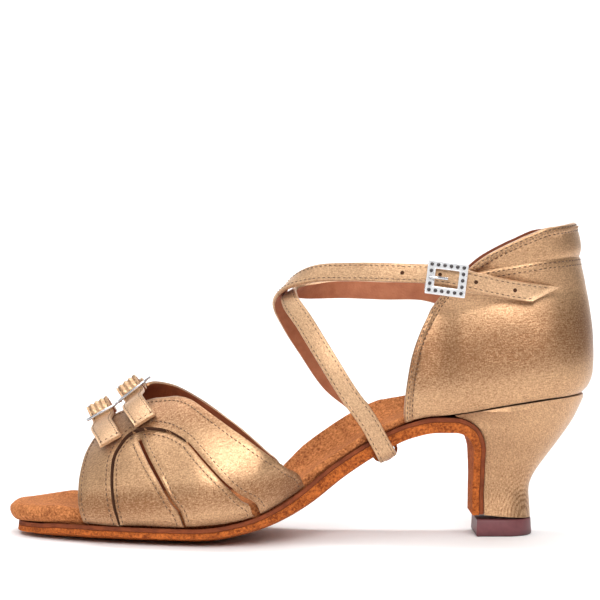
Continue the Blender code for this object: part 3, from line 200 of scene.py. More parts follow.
def readRows(rows, at, slope=None):
    # Cubic through a table whose first column is the key, monotone unless another slope is asked for
    slope = slope or limitedSlope
    if at <= rows[0][0]:
        return rows[0][1:]
    if at >= rows[-1][0]:
        return rows[-1][1:]
    i = 0
    while rows[i + 1][0] < at:
        i += 1
    span = rows[i + 1][0] - rows[i][0]
    part = (at - rows[i][0]) / span
    found = []
    for column in range(1, len(rows[0])):
        rise = (rows[i + 1][column] - rows[i][column]) / span
        before = slope(rows, i, column) if i > 0 else rise
        after = slope(rows, i + 1, column) if i + 2 < len(rows) else rise
        square = part * part
        cube = square * part
        value = (2 * cube - 3 * square + 1) * rows[i][column] + (cube - 2 * square + part) * span * before
        value += (3 * square - 2 * cube) * rows[i + 1][column] + (cube - square) * span * after
        found.append(value)
    return tuple(found)


def slopesBeside(rows, i, column):
    # Span and slope before a row, then span and slope after it
    found = []
    for a, b in ((rows[i - 1], rows[i]), (rows[i], rows[i + 1])):
        span = b[0] - a[0]
        found += [span, (b[column] - a[column]) / span]
    return found


def limitedSlope(rows, i, column):
    leftSpan, left, rightSpan, right = slopesBeside(rows, i, column)
    if left * right <= 0:
        return 0.0
    a = 2 * rightSpan + leftSpan
    b = rightSpan + 2 * leftSpan
    return (a + b) / (a / left + b / right)


def freeSlope(rows, i, column):
    leftSpan, left, rightSpan, right = slopesBeside(rows, i, column)
    return (left * rightSpan + right * leftSpan) / (leftSpan + rightSpan)


def alongRows(rows, steps):
    # A smooth line through points in space, each followed by its outward direction
    keyed = [(0.0,) + tuple(rows[0])]
    for row in rows[1:]:
        keyed.append((keyed[-1][0] + math.dist(row[:3], keyed[-1][1:4]),) + tuple(row))
    found = []
    for a, b in zip(keyed, keyed[1:]):
        for k in range(steps):
            found.append(readRows(keyed, a[0] + (b[0] - a[0]) * k / steps, freeSlope))
    found.append(keyed[-1][1:])
    return found


def ease(value):
    value = min(max(value, 0.0), 1.0)
    return value * value * (3 - 2 * value)


def neighbours(line, i):
    return line[max(i - 1, 0)], line[min(i + 1, len(line) - 1)]


def splineThrough(rows, steps):
    # Catmull-Rom through rows of numbers
    points = []
    last = len(rows) - 1
    for i in range(last):
        near = [rows[min(max(i + k, 0), last)] for k in (-1, 0, 1, 2)]
        for k in range(steps):
            part = k / steps
            square = part * part
            cube = square * part
            found = []
            for p, q, r, s in zip(*near):
                bend = (2 * p - 5 * q + 4 * r - s) * square + (3 * q - p - 3 * r + s) * cube
                found.append(0.5 * (2 * q + (r - p) * part + bend))
            points.append(tuple(found))
    points.append(tuple(rows[-1]))
    return points


def evenly(points, spacing):
    # The same line in nearly equal steps
    lengths = [0.0]
    for a, b in zip(points, points[1:]):
        lengths.append(lengths[-1] + math.dist(a, b))
    count = max(int(round(lengths[-1] / spacing)), 1)
    even = []
    i = 0
    for k in range(count + 1):
        target = lengths[-1] * k / count
        while i < len(points) - 2 and lengths[i + 1] < target:
            i += 1
        part = (target - lengths[i]) / max(lengths[i + 1] - lengths[i], 1e-9)
        part = min(part, 1.0)
        even.append(tuple(p + (q - p) * part for p, q in zip(points[i], points[i + 1])))
    return even


def pathX(share):
    return (share - 0.5) * shoeLength


def buildPath():
    # The rows are read by the square root of the length from the tip, which keeps the toe round
    rows = []
    length = 0.0
    for place, rise, centre, half, crown in soleRows:
        x = pathX(place)
        z = rise * heelHeight
        if rows:
            length += math.dist((x, z), rows[-1][1:3])
        rows.append((math.sqrt(length), x, z, centre * ballWidth, half * ballWidth, crown))
    points = [readRows(rows, rows[-1][0] * i / 320) for i in range(321)]
    length = 0.0
    table = []
    for i, point in enumerate(points):
        if i > 0:
            length += math.dist(point[:2], points[i - 1][:2])
        table.append((length,) + tuple(point))
    return table


solePath = buildPath()
soleEnd = solePath[-1][0]


def pathAt(length):
    # Place, height, centre, half width, crown and the direction of the path at a length from the toe tip
    if length < 0:
        first = pathAt(0.0)
        turn = first[5]
        return (first[0] + length * turn[0], first[1] + length * turn[1]) + first[2:]
    low = 0
    high = len(solePath) - 2
    while low < high:
        middle = (low + high + 1) // 2
        if solePath[middle][0] <= length:
            low = middle
        else:
            high = middle - 1
    a = solePath[low]
    b = solePath[low + 1]
    part = min((length - a[0]) / max(b[0] - a[0], 1e-9), 1.0)
    before = solePath[max(low - 3, 0)]
    after = solePath[min(low + 4, len(solePath) - 1)]
    turn = Vector((after[1] - before[1], after[2] - before[2])).normalized()
    values = tuple(p + (q - p) * part for p, q in zip(a[1:], b[1:]))
    return values + (turn,)


def lengthAtPlace(share):
    target = pathX(share)
    for row in solePath:
        if row[1] >= target:
            return row[0]
    return soleEnd


waistLength = lengthAtPlace(0.56)
ballLength = lengthAtPlace(0.40)
breastLength = lengthAtPlace(0.74)
tunnelLength = lengthAtPlace(tunnelShare)


def outsoleThickness(length):
    waist = ease((length - ballLength) / (waistLength - ballLength))
    flap = ease((length - breastLength) / (soleEnd - breastLength) * 2.0)
    thick = outsoleFore + (outsoleWaist - outsoleFore) * waist
    return thick + (outsoleFore - outsoleWaist) * 0.7 * flap


def crownShape(across):
    # Flat in the middle, then two straight rises to the edge
    reach = min(abs(across), 1.0)
    if reach < crownBendShare:
        return crownMiddleShare * max(reach - flatShare, 0.0) / (crownBendShare - flatShare)
    return crownMiddleShare + (1 - crownMiddleShare) * (reach - crownBendShare) / (1 - crownBendShare)


def solePoint(length, across, height, grow=0.0):
    # across runs from -1 (lateral edge) to 1 (medial edge), height is square to the path
    place, rise, centre, half, crown, turn = pathAt(length)
    up = crown * edgeLift * crownShape(across) + height
    side = centre + across * half + math.copysign(grow, across)
    return Vector((place - turn[1] * up, side, rise + turn[0] * up))


def stations(start, end, count, denseStart=False):
    found = []
    for i in range(count + 1):
        part = i / count
        if denseStart:
            part = part ** 1.7
        found.append(start + (end - start) * part)
    return found


def midsoleTop(length):
    return outsoleThickness(length) + gap + midsoleThickness


def tunnelFrame():
    centre = solePoint(tunnelLength, 0, 0)
    turn = pathAt(tunnelLength)[5]
    along = Vector((turn[0], 0, turn[1]))
    down = Vector((turn[1], 0, -turn[0]))
    return centre, along, down


def seatRow(share):
    rise, half = readRows(seatRows, share)
    if share > widestShare:
        part = min((share - widestShare) / (seatEndShare - widestShare), 1.0)
        half = 0.5 * math.sin(math.acos(part ** (1 / seatBackShare))) ** seatSideShare
    return rise * heelHeight, half * heelSeatWidth


def edgeTable(side, end):
    # The top edge of the midsole on one side, by place
    rows = []
    for i in range(201):
        length = end * i / 200
        point = solePoint(length, side, midsoleTop(length) + gap)
        if not rows or point.x > rows[-1][0] + 1e-5:
            rows.append((point.x, point.y, point.z))
    return rows


heelFrontLength = lengthAtPlace(0.752)
edgeTables = {-1: edgeTable(-1, heelFrontLength), 1: edgeTable(1, heelFrontLength)}


def seatEdge(x, side):
    # Where the counter stands: on the midsole in front, on the heel block behind
    share = x / shoeLength + 0.5
    height, half = seatRow(share)
    blend = ease((share - seatStartShare) / seatBlendShare)
    edgeY, edgeZ = readRows(edgeTables[side], x)
    return edgeY * (1 - blend) + side * half * blend, edgeZ * (1 - blend) + height * blend


def insoleSection(place, thick, shift):
    # A section of the footbed's underside. place is a share of length, shift moves the outline towards
    # the tip at the toe.
    x = pathX(place)
    growLateral, growMedial, lift = readRows(insoleRows, place)
    growLateral *= toeOverhang
    growMedial *= toeOverhang
    length = lengthFor(x)
    halfRow = pathAt(length + shift)
    base = pathAt(max(length, 0.0))
    turn = base[5]
    height = midsoleTop(max(length, 0.0)) + gap
    centre = halfRow[2]
    half = halfRow[3]
    crown = base[4] * (1 + 0.2 * (1 - ease((place - 0.05) / 0.08)))
    blend = ease((place - seatStartShare) / seatBlendShare)
    up = Vector((-turn[1], 0, turn[0]))
    origin = Vector((base[0], 0, base[1])) + up * height
    origin += Vector((1, 0, -toeSlope)) * min(length, 0.0)
    up = Vector((-turn[1] * ease((place - 0.02) / 0.10), 0, turn[0])).normalized()
    if place > seatStartShare:
        seatZ, seatHalf = seatRow(place)
        inner = seatHalf - counterWall - gap
        if place > widestShare:
            depth = (seatEndShare - widestShare) * shoeLength
            shrink = (depth - counterWall - 3 * gap) / depth
            seatHalf = seatRow(widestShare + (place - widestShare) / shrink)[1]
            inner = seatHalf * (1 - 2 * (counterWall + gap) / heelSeatWidth)
        half = half + growLateral * (1 - blend)
        half = half * (1 - blend) + inner * blend
        centre = centre * (1 - blend)
        growLateral = 0.0
        growMedial = 0.0
        up = (up * (1 - blend) + Vector((0, 0, 1)) * blend).normalized()
        target = Vector((x, 0, seatZ + gap))
        origin = origin * (1 - blend) + target * blend
        crown = crown * (1 - blend)
    left = centre - half - growLateral
    right = centre + half + growMedial
    return origin, up, left, right, crown, lift * archLift, thick, base[2], base[3]


def lengthFor(x):
    # Length along the sole for a place on the top of the midsole, straight on before the toe tip
    if x < toeTop:
        return x - toeTop
    for row in solePath:
        turn = pathAt(row[0])[5]
        if row[1] - turn[1] * midsoleTop(row[0]) >= x:
            return row[0]
        if row[0] > breastLength:
            return row[0]
    return breastLength


toeTop = solePath[0][1] - pathAt(0.0)[5][1] * midsoleTop(0.0)
# Sections of the heel block from the tip to the seat. flap: share of the breast flap's length from its
# foot, back: share of length, rise: share of heel height at the back, half: share of seat width
heelRows = [
    (0.0, 0.895, 0.0, 0.232), (0.12, 0.8935, 0.125, 0.214), (0.28, 0.8925, 0.215, 0.203),
    (0.42, 0.8955, 0.29, 0.21), (0.54, 0.905, 0.378, 0.24), (0.66, 0.922, 0.49, 0.296),
    (0.78, 0.9445, 0.632, 0.372), (0.9, 0.968, 0.795, 0.44), (0.965, 0.985, 0.965, 0.496),
]

heelStyle = {"steps": 14, "frontShare": 0.36, "roundShare": 0.64, "backRound": 0.85, "sideRound": 0.90}


def heelRing(flap, backPlace, backRise, half):
    length = soleEnd + (heelFrontLength - soleEnd) * flap
    front = solePoint(length, 0, midsoleTop(length) + gap)
    base = topLiftHeight + gap
    backZ = base + (heelHeight - base) * backRise
    back = pathX(backPlace)
    halfWidth = half * heelSeatWidth
    frontZ = max(front.z, base)
    frontHalf = min(halfWidth, pathAt(length)[3] - 0.0004)
    ring = [Vector((front.x, -frontHalf, frontZ))]
    near = heelStyle["frontShare"]
    for i in range(heelStyle["steps"] + 1):
        turn = -math.pi / 2 + math.pi * i / heelStyle["steps"]
        bow = math.copysign(abs(math.cos(turn)) ** heelStyle["backRound"], math.cos(turn))
        share = near + heelStyle["roundShare"] * bow
        x = front.x + (back - front.x) * share
        y = halfWidth * math.copysign(abs(math.sin(turn)) ** heelStyle["sideRound"], math.sin(turn))
        z = frontZ + (backZ - frontZ) * share
        ring.append(Vector((x, y, z)))
    ring.append(Vector((front.x, frontHalf, frontZ)))
    return ring


def seatRing(drop, inset):
    # The seat's own outline, from the breast round the back
    front = heelFrontLength
    start = solePoint(front, 0, midsoleTop(front) + gap).x / shoeLength + 0.5
    places = [start + (seatEndShare - start) * math.sin(math.pi / 2 * i / 8) for i in range(9)]
    ring = []
    for side in (-1, 1):
        row = places if side < 0 else places[-2::-1]
        for place in row:
            z, half = seatRow(place)
            ring.append(Vector((pathX(place), side * (half - inset), z - drop)))
    return ring


def offsetLine(line, distance):
    # The same line moved to its left by a distance
    moved = []
    for i in range(len(line)):
        a, b = neighbours(line, i)
        dx = b[0] - a[0]
        dy = b[1] - a[1]
        size = math.hypot(dx, dy)
        moved.append((line[i][0] - dy / size * distance, line[i][1] + dx / size * distance))
    return moved


def squareTo(point, u, v, step=0.0004):
    # Unit direction square to a surface at (u, v)
    across = point(u + step, v) - point(u - step, v)
    along = point(u, v + step) - point(u, v - step)
    return across.cross(along).normalized()


quarter = 0.040


def counterBase(u):
    # Chart distance from the back centre to a point on the seat outline; u < 0 is lateral
    side = -1 if u < 0 else 1
    reach = abs(u)
    centre = pathX(widestShare)
    back = pathX(seatEndShare)
    if reach < quarter:
        turn = math.pi / 2 * reach / quarter
        share = math.cos(turn) ** seatBackShare
        place = centre + (back - centre) * share
        half = heelSeatWidth / 2 * math.sin(turn) ** seatSideShare
        return Vector((place, side * half, 0)), math.cos(turn), math.sin(turn)
    place = centre - (reach - quarter)
    edgeY = seatEdge(place, side)[0]
    return Vector((place, edgeY, 0)), 0.0, 1.0


def counterPoint(u, h):
    base, backPart, sidePart = counterBase(u)
    back, side = readRows(counterRows, h / counterHeight)
    x = base.x + back * heelSeatWidth * backPart
    y = base.y + math.copysign(side * heelSeatWidth * sidePart, u)
    return Vector((x, y, seatEdge(base.x, -1 if u < 0 else 1)[1] + h))


def counterFace(u, v, depth):
    return counterPoint(u, v) - squareTo(counterPoint, u, v) * depth


def chartReach(place):
    # Chart distance from the back centre to a place on the seat outline
    x = pathX(place)
    centre = pathX(widestShare)
    if x <= centre:
        return quarter + centre - x
    share = (x - centre) / (pathX(seatEndShare) - centre)
    return quarter * math.acos(min(share, 1.0) ** (1 / seatBackShare)) / (math.pi / 2)


def collarChart():
    # The lateral collar line in the chart, from its foot to the back centre
    line = [(-chartReach(place), height * counterHeight) for place, height in splineThrough(collarRows, 4)]
    return evenly(line + [(0.0, counterHeight)], 0.0032)


def vampSection(x, side):
    edgeY, edgeZ = readRows(edgeTables[side], x)
    height = readRows(ridgeRows, x / shoeLength + 0.5)[0] * instepHeight
    return edgeY, edgeZ, ridgeOffset, height


def vampPoint(x, g, side):
    # g runs from 0 at the sole's edge to 1 on the ridge
    edgeY, edgeZ, ridgeY, ridgeZ = vampSection(x, side)
    fullness = lateralFullness if side < 0 else medialFullness
    turn = -tuck + g * (math.pi / 2 + tuck)
    reach = (edgeY - ridgeY) / math.cos(tuck)
    middle = edgeZ + lowShare * (ridgeZ - edgeZ)
    if turn < 0:
        y = ridgeY + reach * math.cos(turn)
        z = middle - (middle - edgeZ) * math.sin(-turn) / math.sin(tuck)
    else:
        y = ridgeY + reach * max(math.cos(turn), 0.0) ** fullness
        z = middle + (ridgeZ - middle) * math.sin(turn) ** fullness
    return Vector((x, y, z))


def girthAt(x, z, side):
    # Share of the girth at which the surface has a height, in side view
    edgeZ, ridgeZ = vampSection(x, side)[1::2]
    fullness = lateralFullness if side < 0 else medialFullness
    middle = edgeZ + lowShare * (ridgeZ - edgeZ)
    if z <= edgeZ:
        return 0.0
    if z < middle:
        turn = -math.asin((middle - z) / (middle - edgeZ) * math.sin(tuck))
    else:
        share = min((z - middle) / (ridgeZ - middle), 0.9999)
        turn = math.asin(share ** (1 / fullness))
    return (turn + tuck) / (math.pi / 2 + tuck)


girthScale = 0.62 * instepHeight + 0.25 * ballWidth - 0.012


def vampChart(rows, reach, side):
    # Side-view rows to chart points, drawn in towards the front edge by reach
    line = []
    for place, height in splineThrough(rows, 5):
        x = pathX(place)
        g = girthAt(x, height * instepHeight, side)
        if height <= 0.001:
            g = 0.0
        front = pathX(frontEdge[3][0])
        line.append((front + (x - front) * reach, g * girthScale))
    return line


def betweenX(a, b, spacing):
    # Points strictly between two chart points
    count = max(int(math.dist(a, b) / spacing), 1)
    return [(a[0] + (b[0] - a[0]) * i / count, a[1] + (b[1] - a[1]) * i / count) for i in range(1, count)]


def dropRepeats(line):
    kept = []
    for point in line:
        if not kept or math.dist(point, kept[-1]) > 0.0002:
            kept.append(point)
    if math.dist(kept[0], kept[-1]) <= 0.0002:
        kept.pop()
    return kept


# The long strap's free end over the counter: place, height as share of counter height, distance out
freeEndRows = [
    (0.903, 0.598, 0.0026), (0.85, 0.676, 0.0026), (0.802, 0.742, 0.0036),
]
# Its fixed end inside the counter: place, height as share of counter height
fixedEndRows = [
    (0.775, 0.64), (0.8, 0.63), (0.825, 0.62),
]
# The tab on the counter: place, height as share of counter height
tabRows = [
    (0.822, 0.69), (0.8, 0.712), (0.782, 0.73),
]
# The long strap beside the sole: distance out from the sole's edge, height over the sole's underside,
# and degrees by which its outer face turns down
wrapRows = [
    (0.0036, 0.0135, 6), (0.0028, 0.007, 8), (0.0025, 0.003, 12), (0.0019, 0.0003, 38),
    (0.0003, -0.0014, 68),
]


def strapRows():
    # The long strap from its free end round the instep, under the sole and back to the counter.
    # Each row: place, side, height, and the outward direction
    off = strapThickness / 2 + gap
    rows = []
    for place, height, stand in freeEndRows:
        rows.append(onCounter(place, height, stand + off, -1))
    x = shoeLength
    w = ballWidth
    seat = heelSeatWidth
    z = instepHeight
    rows += [
        (0.244 * x, -0.559 * seat, 1.058 * z, -0.12, -1.0, 0.0),
        (0.170 * x, -0.522 * seat, 1.068 * z, 0.0, -1.0, 0.10),
        (0.090 * x, -0.270 * w, 1.072 * z, -0.10, -1.0, 0.25),
        (0.020 * x, -0.168 * w, 1.062 * z, -0.30, -0.85, 0.55),
        (-0.022 * x, -0.048 * w, 1.018 * z, -0.62, -0.25, 0.80),
        (-0.035 * x, 0.090 * w, 0.952 * z, -0.70, 0.35, 0.62),
        (-0.016 * x, 0.190 * w, 0.852 * z, -0.48, 0.85, 0.30),
        (0.014 * x, 0.268 * w, 0.738 * z, -0.20, 1.0, 0.12),
        (0.052 * x, 0.302 * w, 0.606 * z, -0.05, 1.0, 0.05),
    ]
    under = off + gap
    centre, down = tunnelFrame()[::2]
    beside = [pathAt(tunnelLength + step * strapWidth / 2) for step in (-1, 0, 1)]
    lateral = min(row[2] - row[3] for row in beside)
    medial = max(row[2] + row[3] for row in beside)

    def wrap(sign, edge):
        # Rows down beside the sole on one side
        found = []
        for side, height, facing in wrapRows:
            point = centre - down * height + Vector((0, edge + sign * side - centre.y, 0))
            lean = math.radians(facing)
            outward = Vector((0, sign * math.cos(lean), 0)) + down * math.sin(lean)
            found.append(tuple(point) + tuple(outward))
        return found

    rows += wrap(1, medial)
    for reach in (medial * 0.66, medial * 0.33, medial * 0.0, lateral * 0.36, lateral * 0.70):
        rows.append(tuple(centre + down * under + Vector((0, reach - centre.y, 0))) + tuple(down))
    rows += reversed(wrap(-1, lateral))
    rows += [
        (0.080 * x, -0.345 * w, 0.590 * z, -0.05, -1.0, 0.05),
        (0.046 * x, -0.325 * w, 0.720 * z, -0.15, -1.0, 0.15),
        (0.008 * x, -0.240 * w, 0.868 * z, -0.40, -0.85, 0.35),
        (-0.017 * x, -0.098 * w, 0.957 * z, -0.62, -0.45, 0.65),
        (-0.0155 * x, 0.028 * w, 0.989 * z, -0.50, 0.20, 0.80),
        (0.021 * x, 0.112 * w, 0.994 * z, -0.25, 0.80, 0.50),
        (0.070 * x, 0.309 * seat, 0.998 * z, -0.05, 1.0, 0.15),
        (0.150 * x, 0.322 * seat, 0.992 * z, 0.0, 1.0, 0.05),
        (0.212 * x, 0.334 * seat, 0.990 * z, 0.0, 1.0, 0.0),
    ]
    for place, height in fixedEndRows:
        rows.append(onCounter(place, height, -counterWall - off - gap, 1))
    return rows


def onCounter(place, height, stand, side):
    # A row on the counter's face, at a distance out from it
    u = side * chartReach(place)
    point = counterFace(u, height * counterHeight, -stand)
    outward = point - counterFace(u, height * counterHeight, 0)
    outward = outward.normalized() * (1 if stand > 0 else -1)
    return tuple(point) + tuple(outward)


# place and height: middle of the frame over the ridge; medial and lateral: where the strap lies on the
# halves, as place and height rows in side view
vampStraps = {
    "front": {
        "place": 0.1590, "height": 0.4960, "slope": 29.0,
        "medial": [(0.1660, 0.375), (0.1640, 0.415), (0.1620, 0.450)],
        "lateral": [(0.1720, 0.432), (0.1820, 0.410), (0.1925, 0.380)],
    },
    "rear": {
        "place": 0.2112, "height": 0.5820, "slope": 37.5,
        "medial": [(0.2190, 0.500), (0.2180, 0.545), (0.2160, 0.578)],
        "lateral": [(0.2255, 0.526), (0.2370, 0.497), (0.2494, 0.463)],
    },
}
# Path of the strap through its frame: across towards the lateral side and out from the frame's plane,
# as shares of the frame's half width
foldRows = [
    (-1.45, -0.36), (-1.12, -0.44), (-0.8, -0.38), (-0.57, -0.08), (-0.46, 0.36), (-0.18, 0.74),
    (0.18, 0.74), (0.46, 0.36), (0.57, -0.08), (0.8, -0.38), (1.12, -0.46),
]
frameSide = 0.0110
frameLength = 0.0136
frameMiddle = 0.0030
tabLift = 0.0012
tabTurn = 18.0


def onVamp(place, height, side, stand):
    x = pathX(place)
    g = girthAt(x, height * instepHeight, side)
    v = g * girthScale

    def surface(u, w):
        return vampPoint(u, w / girthScale, side)

    outward = squareTo(surface, x, v) * -side
    return surface(x, v) + outward * stand, outward


def buckleFrame():
    rows = strapRows()
    before = Vector(rows[4][:3])
    middle = Vector(rows[3][:3])
    after = Vector(rows[2][:3])
    right = (after - before).normalized()
    up = (Vector((0, 0, 1)) - right * right.z).normalized()
    outward = right.cross(up)
    bow = max((middle - before).dot(outward), 0.0)
    centre = before + right * (middle - before).dot(right) + outward * bow
    centre += outward * (strapThickness / 2 + 2 * gap + buckleThickness / 2)
    return centre, right, up


# Steps across the sole, finer than the solids have
acrossSteps = [-1.0, -0.93, -0.86, -0.76, -0.62, -0.45, -0.22, 0.0, 0.22, 0.45, 0.62, 0.76, 0.86, 0.93, 1.0]
# From the source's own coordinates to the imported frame
originShift = Vector((
    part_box("top_lift")[1][0] - (pathX(heelRows[0][1]) + 0.0005),
    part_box("outsole")[0][1] - min(row[3] - row[4] for row in solePath),
    0.0,
))
print("origin shift", [round(v * 1000, 3) for v in originShift])


# Materials

class Wire:
    # A shader socket that takes the plain operators
    def __init__(self, finish, socket):
        self.finish = finish
        self.socket = socket

    def through(self, operation, a, b=None):
        values = {0: a} if b is None else {0: a, 1: b}
        return self.finish.node("ShaderNodeMath", {"operation": operation}, values)

    def __add__(self, other):
        return self.through("ADD", self, other)

    def __radd__(self, other):
        return self.through("ADD", other, self)

    def __sub__(self, other):
        return self.through("SUBTRACT", self, other)

    def __rsub__(self, other):
        return self.through("SUBTRACT", other, self)

    def __mul__(self, other):
        return self.through("MULTIPLY", self, other)

    def __rmul__(self, other):
        return self.through("MULTIPLY", other, self)

    def __truediv__(self, other):
        return self.through("DIVIDE", self, other)

    def __pow__(self, other):
        return self.through("POWER", self, other)

    def bounded(self):
        return self.through("MINIMUM", self.through("MAXIMUM", self, 0.0), 1.0)


class Finish:
    # One material: a Principled shader and the nodes that feed it
    def __init__(self, name, **sockets):
        self.material = bpy.data.materials.new(name)
        self.material.use_nodes = True
        self.tree = self.material.node_tree
        self.shader = self.tree.nodes["Principled BSDF"]
        for socket, value in sockets.items():
            self.shader.inputs[socket.replace("_", " ")].default_value = value

    def node(self, kind, settings, inputs, output=0):
        made = self.tree.nodes.new(kind)
        for key, value in settings.items():
            setattr(made, key, value)
        for key, value in inputs.items():
            if isinstance(value, Wire):
                self.tree.links.new(value.socket, made.inputs[key])
            else:
                made.inputs[key].default_value = value
        return Wire(self, made.outputs[output])

    def place(self, source="Object", scale=(1, 1, 1), shift=(0, 0, 0)):
        wire = Wire(self, self.tree.nodes.new("ShaderNodeTexCoord").outputs[source])
        return self.node("ShaderNodeMapping", {}, {"Vector": wire, "Scale": scale, "Location": shift})

    def noise(self, place, scale, detail=3.0, roughness=0.6, distortion=0.0):
        return self.node("ShaderNodeTexNoise", {}, {
            "Vector": place, "Scale": scale, "Detail": detail, "Roughness": roughness,
            "Distortion": distortion,
        })

    def part(self, place, axis):
        return self.node("ShaderNodeSeparateXYZ", {}, {"Vector": place}, axis)

    def mix(self, amount, a, b):
        a = a if isinstance(a, Wire) else tuple(a) + (1.0,)
        b = b if isinstance(b, Wire) else tuple(b) + (1.0,)
        return self.node("ShaderNodeMix", {"data_type": "RGBA"}, {0: amount, 6: a, 7: b}, 2)

    def bump(self, height, strength, distance, before=None):
        inputs = {"Height": height, "Strength": strength, "Distance": distance}
        if before is not None:
            inputs["Normal"] = before
        return self.node("ShaderNodeBump", {}, inputs)

    def feed(self, socket, wire):
        self.tree.links.new(wire.socket, self.shader.inputs[socket])


satinStyle = {
    "metallic": 0.70, "coat": 0.12, "level": 0.60, "grain": 620.0, "speck": 1700.0, "slow": 38.0,
    "roughness": 0.30, "slowDepth": 0.0022, "grainDepth": 0.00035, "speckDepth": 0.00025,
}


def satin(name, light, deep, wave=0.5, rings=None, paintedShadeBands=()):
    # Woven satin: long soft floats along the panel, fine grain, slow unevenness under them, and soft bands of
    # painted shade at given heights
    finish = Finish(
        name, Metallic=satinStyle["metallic"], Coat_Weight=satinStyle["coat"], Coat_Roughness=0.42,
        Sheen_Weight=0.10, Sheen_Roughness=0.4, Sheen_Tint=(1.0, 0.93, 0.85, 1.0), Specular_IOR_Level=0.8,
    )
    solid = finish.place()
    grain = finish.noise(finish.place("UV", (1.0, 3.0, 1.0)), satinStyle["grain"], 2.0)
    speck = finish.noise(solid, satinStyle["speck"], 2.0)
    slow = finish.noise(solid, satinStyle["slow"], 2.0, 0.5)
    mixed = satinStyle["level"] + (grain - 0.5) + (speck - 0.5) * 1.5 + (slow - 0.5) * 0.5
    if rings is not None:
        # Faint watered rings in the weave, strongest round their middle
        middle = finish.place("Object", shift=tuple(-c for c in rings["middle"]))
        settings = {"wave_type": "RINGS", "rings_direction": "SPHERICAL"}
        wavy = finish.node("ShaderNodeTexWave", settings, {
            "Vector": middle, "Scale": rings["scale"], "Distortion": 1.2, "Detail": 1.0, "Detail Scale": 60.0,
        }, 1)
        away = finish.node("ShaderNodeVectorMath", {"operation": "LENGTH"}, {0: middle}, 1)
        mixed = mixed + (wavy - 0.5) * rings["strength"] * (1.0 - away / rings["reach"]).bounded()
    for low, slope, width, strength in paintedShadeBands:
        # Painted shade: a soft band at a height that rises towards the heel, pulled towards the deep tone
        off = (finish.part(solid, 2) - finish.part(solid, 0) * slope - low) / width
        mixed = mixed - (1.0 - off * off).bounded() * strength
    finish.feed("Base Color", finish.mix(mixed.bounded(), deep, light))
    finish.feed("Roughness", satinStyle["roughness"] + grain * 0.14 + slow * 0.06)
    soft = finish.bump(slow, wave, satinStyle["slowDepth"])
    fine = finish.bump(grain, 0.30, satinStyle["grainDepth"], soft)
    finish.feed("Normal", finish.bump(speck, 0.30, satinStyle["speckDepth"], fine))
    return finish.material


suedeStyle = {
    "blotch": 160.0, "fibre": 1000.0, "contrast": 3.2, "blotchDepth": 0.0008, "fibreDepth": 0.0005,
}


def suede(name, light, deep, mottle, nap):
    # Napped leather: matt, blotched where it has been brushed, with short fibres
    finish = Finish(
        name, Sheen_Weight=0.45, Sheen_Roughness=0.5, Sheen_Tint=tuple(light) + (1.0,),
        Specular_IOR_Level=0.2,
    )
    solid = finish.place()
    blotch = finish.noise(solid, suedeStyle["blotch"], 4.0, 0.65, 0.6)
    fibre = finish.noise(solid, suedeStyle["fibre"], 3.0, 0.7)
    mixed = ((blotch - 0.5) * mottle + (fibre - 0.5) * suedeStyle["contrast"] + 0.5).bounded()
    finish.feed("Base Color", finish.mix(mixed, deep, light))
    finish.feed("Roughness", 0.82 + fibre * 0.18)
    coarse = finish.bump(blotch, nap * 0.6, suedeStyle["blotchDepth"])
    finish.feed("Normal", finish.bump(fibre, nap, suedeStyle["fibreDepth"], coarse))
    return finish.material


leatherStyle = {"cells": 1300.0, "tone": 240.0, "depth": 0.0003}


def leather(name, light, deep, roughness):
    finish = Finish(name, Specular_IOR_Level=0.22)
    solid = finish.place()
    inputs = {"Vector": solid, "Scale": leatherStyle["cells"]}
    cells = finish.node("ShaderNodeTexVoronoi", {"feature": "SMOOTH_F1"}, inputs)
    tone = finish.noise(solid, leatherStyle["tone"])
    finish.feed("Base Color", finish.mix((tone * 1.2 - 0.1).bounded(), deep, light))
    finish.feed("Roughness", roughness - 0.08 + tone * 0.16)
    finish.feed("Normal", finish.bump(cells, 0.35, leatherStyle["depth"]))
    return finish.material


def metal(name, colour, roughness, metallic=1.0):
    finish = Finish(name, Metallic=metallic)
    rub = finish.noise(finish.place(), 700.0)
    finish.feed("Base Color", finish.mix(rub, tuple(c * 0.86 for c in colour), colour))
    finish.feed("Roughness", roughness + rub * 0.10)
    return finish.material


def rubber(name, light, deep, darkReach=0.0022):
    # Moulded heel tip, darker towards the floor
    finish = Finish(name)
    solid = finish.place()
    low = (1.0 - finish.part(solid, 2) / darkReach).bounded()
    tone = finish.noise(solid, 420.0)
    lowTone = tuple(c * 0.45 for c in deep)
    finish.feed("Base Color", finish.mix(low * 0.65, finish.mix(tone, deep, light), lowTone))
    finish.feed("Roughness", 0.36 + tone * 0.24)
    finish.feed("Normal", finish.bump(tone, 0.2, 0.0003))
    return finish.material


def thread(name, colour):
    finish = Finish(name, Roughness=0.6, Sheen_Weight=0.2)
    tone = finish.noise(finish.place(), 1600.0, 2.0)
    finish.feed("Base Color", finish.mix(tone, tuple(c * 0.7 for c in colour), colour))
    return finish.material


